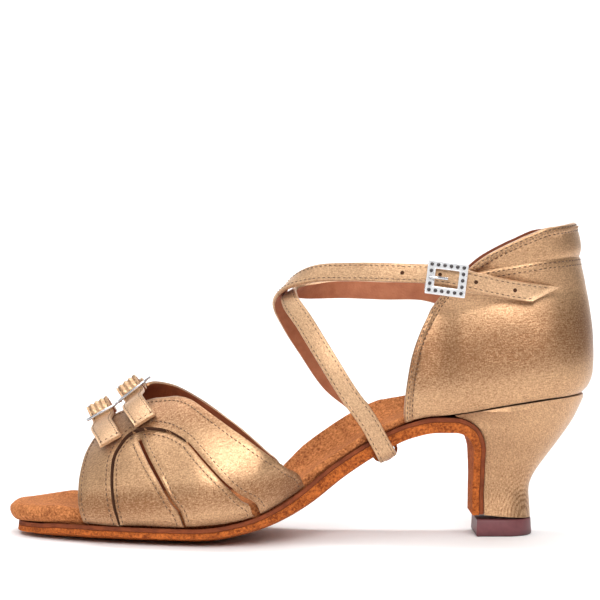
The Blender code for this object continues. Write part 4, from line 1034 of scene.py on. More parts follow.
satinLight = (0.70, 0.430, 0.232)
satinDeep = (0.24, 0.102, 0.036)
# Bands of painted shade on the counter and vamp satin, where upright walls reflect dark surroundings
satinShadeBands = (  # height, slope, half width, strength
    (0.0650, 0.17, 0.0150, 0.46), (0.0243, 0.11, 0.0068, 0.46),
)
heelRings = {"middle": (0.0985, -0.012, 0.0085), "scale": 260.0, "strength": 0.9, "reach": 0.026}
# Painted shade on the heel cover: darker towards its foot
heelShadeBands = ((0.010, 0.0, 0.020, 0.26),)
finishes = {
    "satin": satin("champagneSatin", satinLight, satinDeep, paintedShadeBands=satinShadeBands),
    "strap": satin("strapSatin", (0.74, 0.475, 0.275), (0.31, 0.155, 0.066), 0.25),
    "heel": satin("heelSatin", satinLight, satinDeep, 0.35, heelRings, heelShadeBands),
    "strapLining": leather("strapLining", (0.50, 0.19, 0.095), (0.30, 0.095, 0.045), 0.60),
    "lining": leather("liningLeather", (0.24, 0.062, 0.022), (0.11, 0.027, 0.010), 0.62),
    "outsole": suede("soleSuede", (0.56, 0.150, 0.030), (0.17, 0.034, 0.007), 1.5, 0.9),
    "insole": suede("insoleSuede", (0.60, 0.225, 0.075), (0.19, 0.052, 0.015), 1.0, 0.8),
    # Dark layer between the soles: partly its own edge colour, partly painted shade under the overhanging
    # upper
    "midsole": leather("darkLayer", (0.30, 0.075, 0.026), (0.085, 0.019, 0.008), 0.9),
    "rubber": rubber("burgundyRubber", (0.20, 0.058, 0.064), (0.10, 0.027, 0.032)),
    "silver": metal("silverPlate", (0.72, 0.72, 0.74), 0.13),
    "plate": metal("brightPlate", (0.86, 0.86, 0.87), 0.24, 0.45),
    # Dark metal for the buckle studs: painted shade and dark reflection on bright studs
    "studShade": metal("darkPlate", (0.10, 0.09, 0.09), 0.35),
    "darkThread": thread("brownThread", (0.115, 0.052, 0.020)),
    "braid": thread("braidThread", (0.36, 0.20, 0.095)),
    # Near-black leather that paints the shade inside the strap holes and along the arch seam
    "holeSeamShade": leather("darkShadeLeather", (0.085, 0.034, 0.016), (0.034, 0.013, 0.006), 0.9),
}
print("finishes made")


# Meshes

def newObject(name, data):
    made = bpy.data.objects.new(name, data)
    bpy.context.collection.objects.link(made)
    return made


def plainMesh(item):
    # The mesh that an object's modifiers make
    graph = bpy.context.evaluated_depsgraph_get()
    return bpy.data.meshes.new_from_object(item.evaluated_get(graph))


def finishPiece(name, vertices, faces, materials, slotName, replaced=(), spots=None, flat=None, angle=40):
    # spots: material index of each face, flat: a chart place for each vertex
    mesh = bpy.data.meshes.new(name)
    mesh.from_pydata([tuple(Vector(v) + originShift) for v in vertices], [], faces)
    if flat is not None:
        chart = mesh.uv_layers.new(name="chart")
        for loop in mesh.loops:
            chart.data[loop.index].uv = flat[loop.vertex_index]
    for material in materials:
        mesh.materials.append(finishes[material])
    if spots is not None:
        for polygon, spot in zip(mesh.polygons, spots):
            polygon.material_index = spot
    work = bmesh.new()
    work.from_mesh(mesh)
    bmesh.ops.recalc_face_normals(work, faces=work.faces)
    if work.calc_volume(signed=True) < 0:
        bmesh.ops.reverse_faces(work, faces=work.faces)
    work.to_mesh(mesh)
    work.free()
    mesh.shade_smooth()
    mesh.set_sharp_from_angle(angle=math.radians(angle))
    piece = newObject(name, mesh)
    pieces.append((piece, slotName, replaced))
    return piece


pieces = []


def ringPiece(name, rings, materials, slotName, replaced=(), angle=40, backing=()):
    # Closed body through rings of equal count. The chart runs along the body and round each ring.
    # backing: steps round the ring that take the second material
    vertices = [point for ring in rings for point in ring]
    count = len(rings[0])
    faces = []
    spots = []
    for i in range(len(rings) - 1):
        for k in range(count):
            a = i * count + k
            b = i * count + (k + 1) % count
            faces.append((a, b, b + count, a + count))
            spots.append(int(k in backing))
    faces.append(tuple(range(count)))
    faces.append(tuple(range(len(vertices) - count, len(vertices))))
    spots += [0, 0]
    flat = []
    run = 0.0
    for i, ring in enumerate(rings):
        if i:
            run += (Vector(ring[0]) - Vector(rings[i - 1][0])).length
        around = 0.0
        for k, point in enumerate(ring):
            if k:
                around += (Vector(point) - Vector(ring[k - 1])).length
            flat.append((run, around))
    return finishPiece(name, vertices, faces, materials, slotName, replaced, spots, flat, angle)


def distanceTo(points, line):
    # Least distance from each point to a line of points
    points = np.asarray(points, float)[:, None, :]
    a = np.asarray(line[:-1], float)[None]
    b = np.asarray(line[1:], float)[None]
    span = b - a
    part = ((points - a) * span).sum(-1) / ((span ** 2).sum(-1) + 1e-18)
    part = np.clip(part, 0, 1)
    away = points - (a + span * part[..., None])
    return np.sqrt((away ** 2).sum(-1)).min(1)


def insideMask(points, outline):
    points = np.asarray(points, float)
    a = np.asarray(outline, float)
    b = np.roll(a, 1, axis=0)
    x = points[:, :1]
    y = points[:, 1:]
    crossed = (a[None, :, 1] > y) != (b[None, :, 1] > y)
    at = (b[:, 0] - a[:, 0])[None] * (y - a[None, :, 1]) / ((b[:, 1] - a[:, 1])[None] + 1e-30) + a[None, :, 0]
    return (crossed & (x < at)).sum(1) % 2 == 1


def fillOutline(outline, lines, spacing):
    points = [Vector(p) for p in outline]
    edges = [(i, (i + 1) % len(outline)) for i in range(len(outline))]
    for line in lines:
        start = len(points)
        points += [Vector(p) for p in line]
        edges += [(start + i, start + i + 1) for i in range(len(line) - 1)]
    low = np.min(np.asarray(outline), axis=0)
    high = np.max(np.asarray(outline), axis=0)
    field = []
    row = 0
    y = low[1] + spacing / 2
    while y < high[1]:
        for x in np.arange(low[0] + spacing * (0.25 + 0.5 * (row % 2)), high[0], spacing):
            field.append((x, y))
        y += spacing * 0.866
        row += 1
    field = np.asarray(field)
    kept = insideMask(field, outline)
    kept &= distanceTo(field, list(outline) + [outline[0]]) > spacing * 0.55
    for line in lines:
        kept &= distanceTo(field, line) > spacing * 0.55
    points += [Vector(p) for p in field[kept]]
    found = delaunay_2d_cdt(points, edges, [list(range(len(outline)))], 1, 1e-7)
    return [tuple(p) for p in found[0]], [tuple(f) for f in found[2]]


def shellPiece(name, outline, lines, spacing, surface, sign, lift, depth, replaced, seam=None, rim=0.0006):
    # A hollow wall: satin outside, lining inside, its rim rolled over. seam: which spots lie deep in a seam;
    # these take near-black leather as painted shade
    flat, triangles = fillOutline(outline, lines, spacing)
    used = sorted({i for triangle in triangles for i in triangle})
    index = {old: new for new, old in enumerate(used)}
    chart = [flat[i] for i in used]
    raised = lift(np.asarray(chart))
    toRim = distanceTo(chart, list(outline) + [outline[0]])
    outer = []
    inner = []
    for (u, v), up, near in zip(chart, raised, toRim):
        outward = squareTo(surface, u, max(v, 0.0005)) * sign
        point = surface(u, v)
        roll = rim - math.sqrt(max(rim ** 2 - max(rim - near, 0.0) ** 2, 0.0))
        outer.append(point + outward * (up - roll))
        inner.append(point - outward * (depth - roll * 0.6))
    count = len(used)
    faces = []
    spots = []
    edges = {}
    middles = np.asarray([np.mean([flat[i] for i in triangle], axis=0) for triangle in triangles])
    deep = seam(middles) if seam else np.zeros(len(triangles), bool)
    for triangle, seamShaded in zip(triangles, deep):
        a, b, c = (index[i] for i in triangle)
        faces.append((a, b, c))
        spots.append(2 * int(seamShaded))
        faces.append((c + count, b + count, a + count))
        spots.append(1)
        for pair in ((a, b), (b, c), (c, a)):
            edges[pair] = edges.get(pair, 0) + 1
    for a, b in list(edges):
        if (b, a) not in edges:
            faces.append((b, a, a + count, b + count))
            spots.append(0)
    names = ["satin", "lining", "holeSeamShade"]
    return finishPiece(name, outer + inner, faces, names, "satin", replaced, spots, chart + chart, 50)


def gentle(chart, size, amount):
    # Slow unevenness of a hand-lasted wall
    u = chart[:, 0] / size
    v = chart[:, 1] / size
    wave = np.sin(u * 6.1 + 1.3 * np.sin(v * 3.7)) * np.cos(v * 5.3 + 0.8 * np.sin(u * 4.1))
    return amount * wave


def easeAll(values):
    values = np.clip(values, 0, 1)
    return values * values * (3 - 2 * values)


def ridge(distance, width):
    return np.exp(-(distance / width) ** 2)


# Threads: a stitch at every step along a line

def stitchTree():
    tree = bpy.data.node_groups.new("stitchRow", "GeometryNodeTree")
    tree.interface.new_socket("Geometry", in_out="INPUT", socket_type="NodeSocketGeometry")
    for label, value in (("Step", 0.0022), ("Length", 0.0016), ("Thickness", 0.0004)):
        socket = tree.interface.new_socket(label, in_out="INPUT", socket_type="NodeSocketFloat")
        socket.default_value = value
    tree.interface.new_socket("Finish", in_out="INPUT", socket_type="NodeSocketMaterial")
    tree.interface.new_socket("Geometry", in_out="OUTPUT", socket_type="NodeSocketGeometry")

    def add(kind, settings=None, **links):
        made = tree.nodes.new(kind)
        for key, value in (settings or {}).items():
            setattr(made, key, value)
        for key, value in links.items():
            socket = made.inputs[key.replace("_", " ")]
            if isinstance(value, bpy.types.NodeSocket):
                tree.links.new(value, socket)
            else:
                socket.default_value = value
        return made

    start = add("NodeGroupInput").outputs
    line = add("GeometryNodeMeshToCurve", None, Mesh=start["Geometry"])
    steps = add("GeometryNodeResampleCurve", {"mode": "LENGTH"}, Curve=line.outputs[0], Length=start["Step"])
    bead = add("GeometryNodeMeshUVSphere", None, Segments=7, Rings=5, Radius=0.5)
    tangent = add("GeometryNodeInputTangent")
    turn = add("FunctionNodeAlignRotationToVector", {"axis": "Z"}, Vector=tangent.outputs[0])
    size = add("ShaderNodeCombineXYZ", None, X=start["Thickness"], Y=start["Thickness"], Z=start["Length"])
    copies = add(
        "GeometryNodeInstanceOnPoints", None, Points=steps.outputs[0], Instance=bead.outputs[0],
        Rotation=turn.outputs[0], Scale=size.outputs[0],
    )
    solid = add("GeometryNodeRealizeInstances", None, Geometry=copies.outputs[0])
    dressed = add("GeometryNodeSetMaterial", None, Geometry=solid.outputs[0], Material=start["Finish"])
    smooth = add("GeometryNodeSetShadeSmooth", None, Geometry=dressed.outputs[0])
    end = add("NodeGroupOutput")
    tree.links.new(smooth.outputs[0], end.inputs[0])
    return tree


stitching = stitchTree()


def beadRows(name, rows, slotName, finish, step, length, thickness):
    # Each row of points becomes a row of stitches, studs or beads
    vertices = []
    edges = []
    for row in rows:
        start = len(vertices)
        vertices += [tuple(Vector(p) + originShift) for p in row]
        edges += [(start + i, start + i + 1) for i in range(len(row) - 1)]
    mesh = bpy.data.meshes.new(name + "Line")
    mesh.from_pydata(vertices, edges, [])
    line = newObject(name + "Line", mesh)
    change = line.modifiers.new("stitch", "NODES")
    change.node_group = stitching
    values = {"Step": step, "Length": length, "Thickness": thickness, "Finish": finishes[finish]}
    for item in stitching.interface.items_tree:
        if item.in_out == "INPUT" and item.name in values:
            change[item.identifier] = values[item.name]
    line.update_tag()
    made = plainMesh(line)
    bpy.data.objects.remove(line, do_unlink=True)
    pieces.append((newObject(name, made), slotName, ()))


# Sole

soleStyle = {
    "edgeRough": 0.00022, "edgeInset": 0.0005, "stations": 150,
    "layerRough": 0.00016, "layerInset": 0.0004, "layerShort": 0.0003,
}


def layerRings(low, high, end, inset, rough):
    lengths = stations(0.0, lengthAtPlace(0.09), 22, True)
    lengths += stations(lengthAtPlace(0.09), breastLength, soleStyle["stations"])[1:]
    lengths += stations(breastLength, end, 50)[1:]
    rings = []
    for n, length in enumerate(lengths):
        bottom = low(length)
        top = high(length)
        ring = []
        for side, height, waves in ((1, bottom, (2.399, 9.0, 0.73, 4.0)), (-1, top, (2.1, 8.0, 0.61, 5.0))):
            # across one face, then round the edge that follows it
            for across in acrossSteps:
                ring.append(solePoint(length, across * side, height, -inset * (abs(across) == 1)))
            for part, out in ((0.12, 0.35), (0.35, 0.0), (0.65, 0.0), (0.88, 0.35)):
                part = part if side > 0 else 1 - part
                jag = rough * math.sin(n * waves[0] + part * waves[1])
                jag *= math.sin(n * waves[2] + part * waves[3])
                ring.append(solePoint(length, side, bottom + (top - bottom) * part, jag - inset * out))
        rings.append(ring)
    return rings


def carve(piece, rings, operation):
    # Joins a form to a piece or cuts it away, and keeps the plain mesh
    form = ringPiece("form", rings, ["outsole"], "suede")
    pieces.pop()
    change = piece.modifiers.new("carve", "BOOLEAN")
    change.operation = operation
    change.solver = "EXACT"
    change.object = form
    made = plainMesh(piece)
    piece.modifiers.clear()
    piece.data = made
    bpy.data.objects.remove(form, do_unlink=True)


def blockRings(centre, along, down, halfLength, halfSide, top, bottom, roundShare):
    side = Vector((0, 1, 0))
    profile = [(-halfLength, top), (-halfLength, 0)]
    for i in range(17):
        turn = math.pi * i / 16
        profile.append((-halfLength * math.cos(turn) * roundShare, bottom * (0.25 + 0.75 * math.sin(turn))))
    profile += [(halfLength, 0), (halfLength, top)]
    return [[centre + along * a + down * d + side * y for a, d in profile] for y in (-halfSide, halfSide)]


def makeSole():
    rings = layerRings(
        lambda length: 0.0, outsoleThickness, soleEnd, soleStyle["edgeInset"], soleStyle["edgeRough"],
    )
    outsole = ringPiece("soleSuede", rings, ["outsole"], "suede", ("outsole",))
    centre, along, down = tunnelFrame()
    depth = 4 * gap + strapThickness + bridgeThickness
    half = strapWidth / 2 + gap + bridgeThickness
    carve(outsole, blockRings(centre, along, down, half, bridgeLength / 2, -0.0012, depth, 0.93), "UNION")
    half = strapWidth / 2 + gap
    low = strapThickness + 4 * gap
    channel = []
    for y in (-bridgeLength, bridgeLength):
        corners = [(-half, -0.0001), (half, -0.0001), (half, low), (-half, low)]
        channel.append([centre + along * a + down * d + Vector((0, y, 0)) for a, d in corners])
    carve(outsole, channel, "DIFFERENCE")
    # Its dark colour is partly painted shade under the overhanging upper
    rings = layerRings(
        lambda length: outsoleThickness(length) + gap * 0.4, midsoleTop, soleEnd - soleStyle["layerShort"],
        soleStyle["layerInset"], soleStyle["layerRough"],
    )
    ringPiece("darkSoleLayer", rings, ["midsole"], "sole_edge", ("midsole",))


insoleStyle = {
    "noseOfHeight": 0.42, "noseOfHalf": 0.15, "toeShare": 0.10, "toeBlend": 0.16, "thinTip": 0.16,
    "softToe": 0.026, "softening": 40,
}


def insoleRing(origin, up, left, right, crown, lift, thick, soleCentre, soleHalf, pinch):
    middle = (left + right) / 2
    half = (right - left) / 2
    nose = min(thick * insoleStyle["noseOfHeight"], half * insoleStyle["noseOfHalf"])

    def at(across, inset, height, under):
        # under runs from 0 on the underside to 1 on top
        side = middle + across * (half - inset)
        rise = crown * edgeLift * crownShape(min(abs(side - soleCentre) / soleHalf, 1.0))
        start = 0.62 - 0.27 * under
        bend = (max(across - start, 0.0) / (1 - start)) ** 1.7 * (0.3 + 0.7 * under)
        level = thick / 2 + (height - thick / 2) * pinch
        return origin + up * (rise + lift * bend + level) + Vector((0, side, 0))

    def edge(side):
        # Half a turn from the underside to the top
        found = []
        for i in range(1, 9):
            turn = math.pi * i / 9
            height = thick * (0.5 - 0.5 * math.cos(turn))
            found.append(at(side, nose * (1 - math.sin(turn)), height, height / thick))
        return found

    ring = [at(v, nose * abs(v), 0.0, 0.0) for v in acrossSteps] + edge(1)
    ring += [at(v, nose * abs(v), thick, 1.0) for v in reversed(acrossSteps)]
    return ring + edge(-1)[::-1]


def makeInsole():
    toeTip = solePath[0][1] - toeOverhang
    tip = toeTip / shoeLength + 0.5
    nose = insoleThickness / 2 / shoeLength
    places = [tip + nose * (1 - math.cos(math.pi / 2 * i / 10)) for i in range(11)]
    fore = insoleStyle["toeShare"]
    places += [tip + nose + (fore - tip - nose) * (i / 26) ** 1.5 for i in range(1, 27)]
    places += [fore + (seatStartShare - fore) * i / 110 for i in range(1, 111)]
    last = seatEndShare - (counterWall + 3.2 * gap) / shoeLength
    places += [seatStartShare + (last - seatStartShare) * (1 - (1 - i / 44) ** 1.7) for i in range(1, 45)]
    rings = []
    for place in places:
        seat = ease((place - paddingEndShare) / paddingBlendShare)
        thick = insoleThickness + (insoleSeatThickness - insoleThickness) * seat
        shift = (toeTop - toeTip) * (1 - ease((place - tip) / insoleStyle["toeBlend"]))
        part = min((place - tip) / nose, 1.0)
        pinch = max(math.sqrt(1 - (1 - part) ** 2), insoleStyle["thinTip"])
        rings.append(insoleRing(*insoleSection(place, thick, shift), pinch))
    insole = ringPiece("insoleSuede", rings, ["insole"], "insole_suede", ("insole",), 60)
    work = bmesh.new()
    work.from_mesh(insole.data)
    for i in range(insoleStyle["softening"]):
        limit = originShift.x + toeTip + insoleStyle["softToe"] * (1 - i / insoleStyle["softening"])
        near = [v for v in work.verts if v.co.x < limit]
        axes = {"use_axis_x": True, "use_axis_y": True, "use_axis_z": True}
        bmesh.ops.smooth_vert(work, verts=near, factor=0.5, **axes)
    work.to_mesh(insole.data)
    work.free()


makeSole()
makeInsole()
print("sole made")


# Heel

def makeHeel():
    rows = splineThrough(heelRows, 7)
    rings = [heelRing(*row) for row in rows]
    rings.append(seatRing(gap, 0.0004))
    ringPiece("heelCover", rings, ["heel"], "satin", ("heel_block",))


makeHeel()


# Counter

counterStyle = {
    "spacing": 0.0016, "fine": 0.0014, "rows": (0.0009, 0.0030), "seamRows": (-0.0012, -0.0032),
    "stitches": (0.0021, 0.0013, 0.00042), "braid": 0.0019, "braidBeads": (0.0013, 0.0009, 0.00080),
    "groove": 0.00012, "seamHeight": 0.800, "seamDip": 0.00045,
}


def makeCounter():
    collar = collarChart()
    footU = collar[0][0]
    low = gap
    bottom = [(footU * (1 - (1 + medialCollarShare) * i / 150), low) for i in range(151)]
    lateral = [(u, max(v, low)) for u, v in collar]
    medial = [(-u * medialCollarShare, v) for u, v in reversed(lateral[:-1])]
    rim = lateral + medial
    outline = bottom[1:-1] + evenly(rim, counterStyle["fine"])[::-1]
    guides = []
    for away in (0.00012, 0.00032, 0.0006, bindingWidth, bindingWidth + 0.0004):
        line = evenly(offsetLine(rim, -away), counterStyle["fine"])
        guides.append([p for p in line if p[1] > low + 0.0004])
    seamV = counterStyle["seamHeight"] * counterHeight
    seamHalf = min(-u for u, v in lateral if v < seamV) - 0.001
    for lineV in (seamV - 0.0005, seamV, seamV + 0.0005):
        guides.append([(seamHalf * ((1 + medialCollarShare) * i / 60 - 1), lineV) for i in range(61)])

    def lift(chart):
        toRim = distanceTo(chart, rim)
        raised = bindingStep * (1 - np.clip((toRim - bindingWidth) / 0.0004, 0, 1))
        raised = raised + counterStyle["groove"] * ridge(toRim - counterStyle["braid"], 0.0005)
        along = (chart[:, 0] > -seamHalf) & (chart[:, 0] < seamHalf * medialCollarShare)
        seam = ridge(chart[:, 1] - seamV, 0.0006) * along
        return raised - counterStyle["seamDip"] * seam + gentle(chart, 0.030, 0.00016) * (toRim > 0.004)

    shellPiece(
        "counterShell", outline, guides, counterStyle["spacing"], counterPoint, 1, lift, counterWall,
        ("counter",),
    )

    def rimRow(away, stand):
        line = [p for p in evenly(offsetLine(rim, -away), 0.002) if p[1] > low + 0.001]
        return [counterFace(u, v, -stand) for u, v in line]

    dark = []
    for away in counterStyle["rows"]:
        dark.append(rimRow(away, bindingStep * (away < bindingWidth) + counterStyle["groove"]))
    for away in counterStyle["seamRows"]:
        line = [(seamHalf * ((1 + medialCollarShare) * i / 90 - 1), seamV + away) for i in range(91)]
        dark.append([counterFace(u, v, -0.0001) for u, v in line])
    beadRows("counterStitches", dark, "satin", "darkThread", *counterStyle["stitches"])
    braid = [rimRow(counterStyle["braid"], bindingStep + 0.00016)]
    beadRows("counterBraid", braid, "satin", "braid", *counterStyle["braidBeads"])


makeCounter()
print("counter made")


# Vamp

vampStyle = {
    "spacing": 0.0015, "fine": 0.0012, "foot": 0.0016, "edgeRow": 0.0018,
    "stitches": (0.0021, 0.0014, 0.00036), "bandBlend": 0.016, "footBlend": 0.012,
    "seamWidth": 0.00032, "seamDepth": 0.0010, "bead": 0.00010, "crease": 0.00022, "fineSeamShade": 0.00022,
}


def rowsBeside(lines, outline, away):
    # Runs of points beside each line, on the leather and clear of its edges
    runs = []
    closed = list(outline) + [outline[0]]
    for line in lines:
        for side in (-1, 1):
            points = evenly(offsetLine(line, side * away), 0.0018)
            kept = insideMask(points, outline) & (distanceTo(points, closed) > away * 0.86)
            run = []
            for point, fine in zip(points, kept):
                if fine and point[1] > 0.0016:
                    run.append(point)
                elif run:
                    runs.append(run)
                    run = []
            runs.append(run)
    return [run for run in runs if len(run) > 2]


def makeVamp(name, side, reach, replaced):
    top = vampChart(lateralEdge if side < 0 else medialEdge, 1.0, side)
    drawn = (frontEdge, archEdge, middleSlit, rearSlitLow, rearSlitHigh)
    front, arch, slit, rearLow, rearHigh = (vampChart(edge, reach, -1) for edge in drawn)
    fine = vampStyle["fine"]
    foot = vampStyle["foot"]
    rim = evenly(front + top, fine)
    slitLeft = offsetLine(slit, slitWidth / 2)
    slitRight = offsetLine(slit, -slitWidth / 2)
    slitEdge = evenly(slitLeft, fine) + evenly(slitRight, fine)[::-1]
    rearEdge = evenly(rearLow, fine) + evenly(rearHigh, fine)[::-1]
    bottom = betweenX(rim[-1], rearEdge[-1], foot) + rearEdge[::-1]
    bottom += betweenX(rearEdge[0], slitEdge[-1], foot) + slitEdge[::-1]
    bottom += betweenX(slitEdge[0], rim[0], foot)
    outline = dropRepeats([(u, max(v, 0.0)) for u, v in rim + bottom])
    closed = list(outline) + [outline[0]]
    stepOut = evenly(arch, fine)
    stepIn = evenly(offsetLine(arch, -vampStyle["seamWidth"]), fine)
    stepFar = evenly(offsetLine(arch, -2 * vampStyle["seamWidth"]), fine)
    innerRegion = arch + rearLow[::-1]
    for line in (stepOut, stepIn, stepFar):
        line[0] = (line[0][0], 0.0001)
    archTop = max(arch, key=lambda p: p[1])[0]
    edgeRow = vampStyle["edgeRow"]
    guides = [stepOut, stepIn, stepFar]
    edges = [rim, slitLeft, slitRight, rearLow, rearHigh]
    for away in (edgeRow * 0.5, edgeRow, edgeRow * 1.5):
        guides += rowsBeside(edges, outline, away)

    def lift(chart):
        inner = insideMask(chart, innerRegion) | (distanceTo(chart, rearLow) < 0.0002)
        far = distanceTo(chart, arch)
        edge = easeAll(far / vampStyle["bandBlend"])
        above = easeAll(chart[:, 1] / vampStyle["footBlend"])
        band = bandStep * (1 - 0.55 * edge) * (0.35 + 0.65 * above)
        seam = np.clip(1 - np.abs(far - vampStyle["seamWidth"]) / vampStyle["seamWidth"], 0, 1)
        low = -vampStyle["seamDepth"] * seam * (0.3 + 0.7 * (chart[:, 0] < archTop))
        raised = np.where(inner & (far > 0.0002), low, band)
        toEdge = distanceTo(chart, closed)
        rolled = vampStyle["bead"] * ridge(toEdge - edgeRow * 0.5, 0.0006)
        stitched = -vampStyle["crease"] * ridge(toEdge - edgeRow, 0.0005)
        return raised + rolled + stitched + gentle(chart, 0.026, 0.00018)

    # Faces along the arch seam that take near-black leather: painted shade in the gap, over a real trough in
    # the surface
    def seamShadeFaces(middles):
        broad = middles[:, 0] < archTop
        reach = np.where(broad, vampStyle["seamWidth"] * 1.3, vampStyle["fineSeamShade"])
        return (distanceTo(middles, arch) < reach) & insideMask(middles, innerRegion)

    def surface(u, v):
        return vampPoint(u, v / girthScale, side)

    shellPiece(name, outline, guides, vampStyle["spacing"], surface, -side, lift, upperWall, replaced, seamShadeFaces)
    rows = []
    for line in rowsBeside(edges + [arch], outline, edgeRow):
        raised = lift(np.asarray(line))
        row = []
        for (u, v), up in zip(line, raised):
            row.append(surface(u, v) + squareTo(surface, u, v) * -side * (up + 0.00016))
        rows.append(row)
    return rows


vampRows = makeVamp("vampOuterShell", -1, 1.0, ("vamp_lateral",))
vampRows += makeVamp("vampInnerShell", 1, medialReachShare, ("vamp_medial",))
beadRows("vampStitches", vampRows, "satin", "darkThread", *vampStyle["stitches"])
print("vamp made")


# Straps

def strapFrames(rows, steps):
    samples = alongRows(rows, steps)
    centres = [Vector(s[:3]) for s in samples]
    found = []
    for i, sample in enumerate(samples):
        before, after = neighbours(centres, i)
        along = (after - before).normalized()
        outward = Vector(sample[3:6])
        outward = (outward - along * outward.dot(along)).normalized()
        found.append((centres[i], along, outward, along.cross(outward)))
    return found


strapStyle = {
    "stitchEnd": 0.0024, "rowInset": 0.0012, "edge": 0.94,
    "stitches": (0.0022, 0.0013, 0.00034), "shortStitches": (0.0019, 0.0012, 0.00034),
}


def makeStrap(name, rows, width, thickness, steps, replaced, cut=0.0, crown=0.0002, ruffle=None):
    # A folded satin band: rounded edges, a little fuller in the middle
    frames = strapFrames(rows, steps)
    profile = []
    half = width / 2
    deep = thickness / 2
    edge = strapStyle["edge"]
    topShares = [-edge, -0.8, -0.5, 0, 0.5, 0.8, edge]
    if ruffle:
        topShares = [-edge + 2 * edge * i / 18 for i in range(19)]
    for share in topShares:
        profile.append((share * half, deep + crown * (1 - share * share) - crown))

    def roundEdge(side):
        # Down the edge on one side, or up it on the other
        for turn in (60, 30, 0, -30, -60):
            lean = math.radians(turn * side)
            profile.append((side * (half - deep * 0.5 * (1 - math.cos(lean))), deep * math.sin(lean)))

    def slantAt(centre):
        return max(cut - (centre - start).length * cutFade, 0.0)

    roundEdge(1)
    for share in (edge, 0.5, 0.0, -0.5, -edge):
        profile.append((share * half, -deep))
    roundEdge(-1)
    rings = []
    start = frames[0][0]
    for centre, along, outward, across in frames:
        slant = slantAt(centre)
        ring = []
        for a, d in profile:
            extra = ruffle(centre, a / half) if ruffle and d > 0 else 0.0
            ring.append(centre + across * a + outward * (d + extra) - along * slant * a / half)
        rings.append(ring)
    first = len(topShares) + 5
    ringPiece(name, rings, ["strap", "strapLining"], "satin", replaced, 50, range(first - 1, first + 5))
    rows = []
    last = frames[-1][0]
    for sideways in (-1, 1):
        row = []
        for centre, along, outward, across in frames:
            if min((centre - start).length, (centre - last).length) < strapStyle["stitchEnd"]:
                continue
            slant = slantAt(centre)
            share = sideways * (1 - 2 * strapStyle["rowInset"] / width)
            row.append(centre + across * half * share + outward * deep * 1.02 - along * slant * share)
        rows.append(row)
    return rows, frames


longRows, longFrames = makeStrap(
    "longStrap", strapRows(), strapWidth, strapThickness, 12, ("instep_strap",), endCut
)
beadRows("strapStitches", longRows, "satin", "darkThread", *strapStyle["stitches"])


def crossingPad():
    points = [f[0] for f in longFrames]
    half = len(points) // 2
    pairs = []
    for i, a in enumerate(points[:half]):
        pairs += [((a - b).length, i, k) for k, b in enumerate(points[half:])]
    i, k = min(pairs)[1:]
    outer = points[i]
    inner = points[half + k]
    through = (outer - inner).normalized()
    along = longFrames[i][1]
    across = through.cross(along).normalized()
    along = across.cross(through)
    reach = strapWidth * crossingShare / 2
    corners = ((-1, -1), (1, -1), (1, 1), (-1, 1))
    rings = [[c + along * a * reach + across * b * reach for a, b in corners] for c in (inner, outer)]
    ringPiece("crossingPad", rings, ["strap"], "satin")


crossingPad()

ruffleStyle = {"depth": 0.00030, "waves": 13.0, "above": 0.0016}


def vampFrameAt(row):
    # Middle of a short strap's frame, the direction along its slope and the one square to it
    turn = math.radians(row["slope"])
    centre = Vector((pathX(row["place"]), frameMiddle, row["height"] * instepHeight))
    return centre, Vector((math.cos(turn), 0, math.sin(turn))), Vector((-math.sin(turn), 0, math.cos(turn)))


def vampStrapLine(row, centre, along, outward):
    # The rows of a short strap, and how far each point stands over its frame
    lateral = Vector((0, -1, 0))
    stand = bandStep + gap + vampStrapThickness / 2
    reach = frameSide / 2
    fold = [centre + lateral * b * reach + outward * n * reach for b, n in foldRows]
    line = []
    for place, height in row["medial"]:
        point, square = onVamp(place, height, 1, stand)
        line.append(tuple(point) + tuple(square))
    for i, point in enumerate(fold):
        before, after = neighbours(fold, i)
        line.append(tuple(point) + tuple((after - before).normalized().cross(along)))
    last = fold[-1]
    for i, (place, height) in enumerate(row["lateral"]):
        point, square = onVamp(place, height, -1, stand + tabLift)
        lean = math.radians(row["slope"] - tabTurn * (i + 1) / len(row["lateral"]))
        turned = (point - last).normalized().cross(Vector((math.cos(lean), 0, math.sin(lean))))
        line.append(tuple(point) + tuple(turned + square))
        last = point
    return line


def makeVampStraps():
    stitches = []
    for strapName, row in vampStraps.items():
        centre, along, outward = vampFrameAt(row)

        def gathered(point, share):
            over = ease(((point - centre).dot(outward) - 0.0004) / ruffleStyle["above"])
            return ruffleStyle["depth"] * over * math.sin(share * ruffleStyle["waves"] + 0.7)

        found, frames = makeStrap(
            "vampStrap" + strapName.capitalize(), vampStrapLine(row, centre, along, outward), vampStrapWidth,
            vampStrapThickness, 9, ("vamp_strap_" + strapName,), 0.0, 0.0002, gathered,
        )
        stitches += found
        end, _, square, across = frames[-3]
        half = vampStrapWidth / 2 - strapStyle["rowInset"]
        stand = square * vampStrapThickness * 0.52
        stitches.append([end + across * half * share + stand for share in (-1, 0, 1)])
    beadRows("vampStrapStitches", stitches, "satin", "darkThread", *strapStyle["shortStitches"])


makeVampStraps()
print("straps made")


# Metal

def frameBody(name, centre, right, up, width, height, rim, thickness, bevel, replaced, finish="silver"):
    outward = right.cross(up).normalized()
    vertices = []
    for depth in (-thickness / 2, thickness / 2):
        for grow in (0.0, -rim):
            for a, b in ((-1, -1), (1, -1), (1, 1), (-1, 1)):
                side = right * a * (width / 2 + grow)
                rise = up * b * (height / 2 + grow)
                vertices.append(centre + side + rise + outward * depth)
    faces = []
    for k in range(4):
        n = (k + 1) % 4
        faces.append((k, n, n + 4, k + 4))
        faces.append((8 + k, 12 + k, 12 + n, 8 + n))
        faces.append((k, 8 + k, 8 + n, n))
        faces.append((4 + k, 4 + n, 12 + n, 12 + k))
    body = finishPiece(name, vertices, faces, [finish], "silver", replaced, None, None, 30)
    edge = body.modifiers.new("edge", "BEVEL")
    edge.width = bevel
    edge.segments = 3
    edge.limit_method = "ANGLE"
    return body


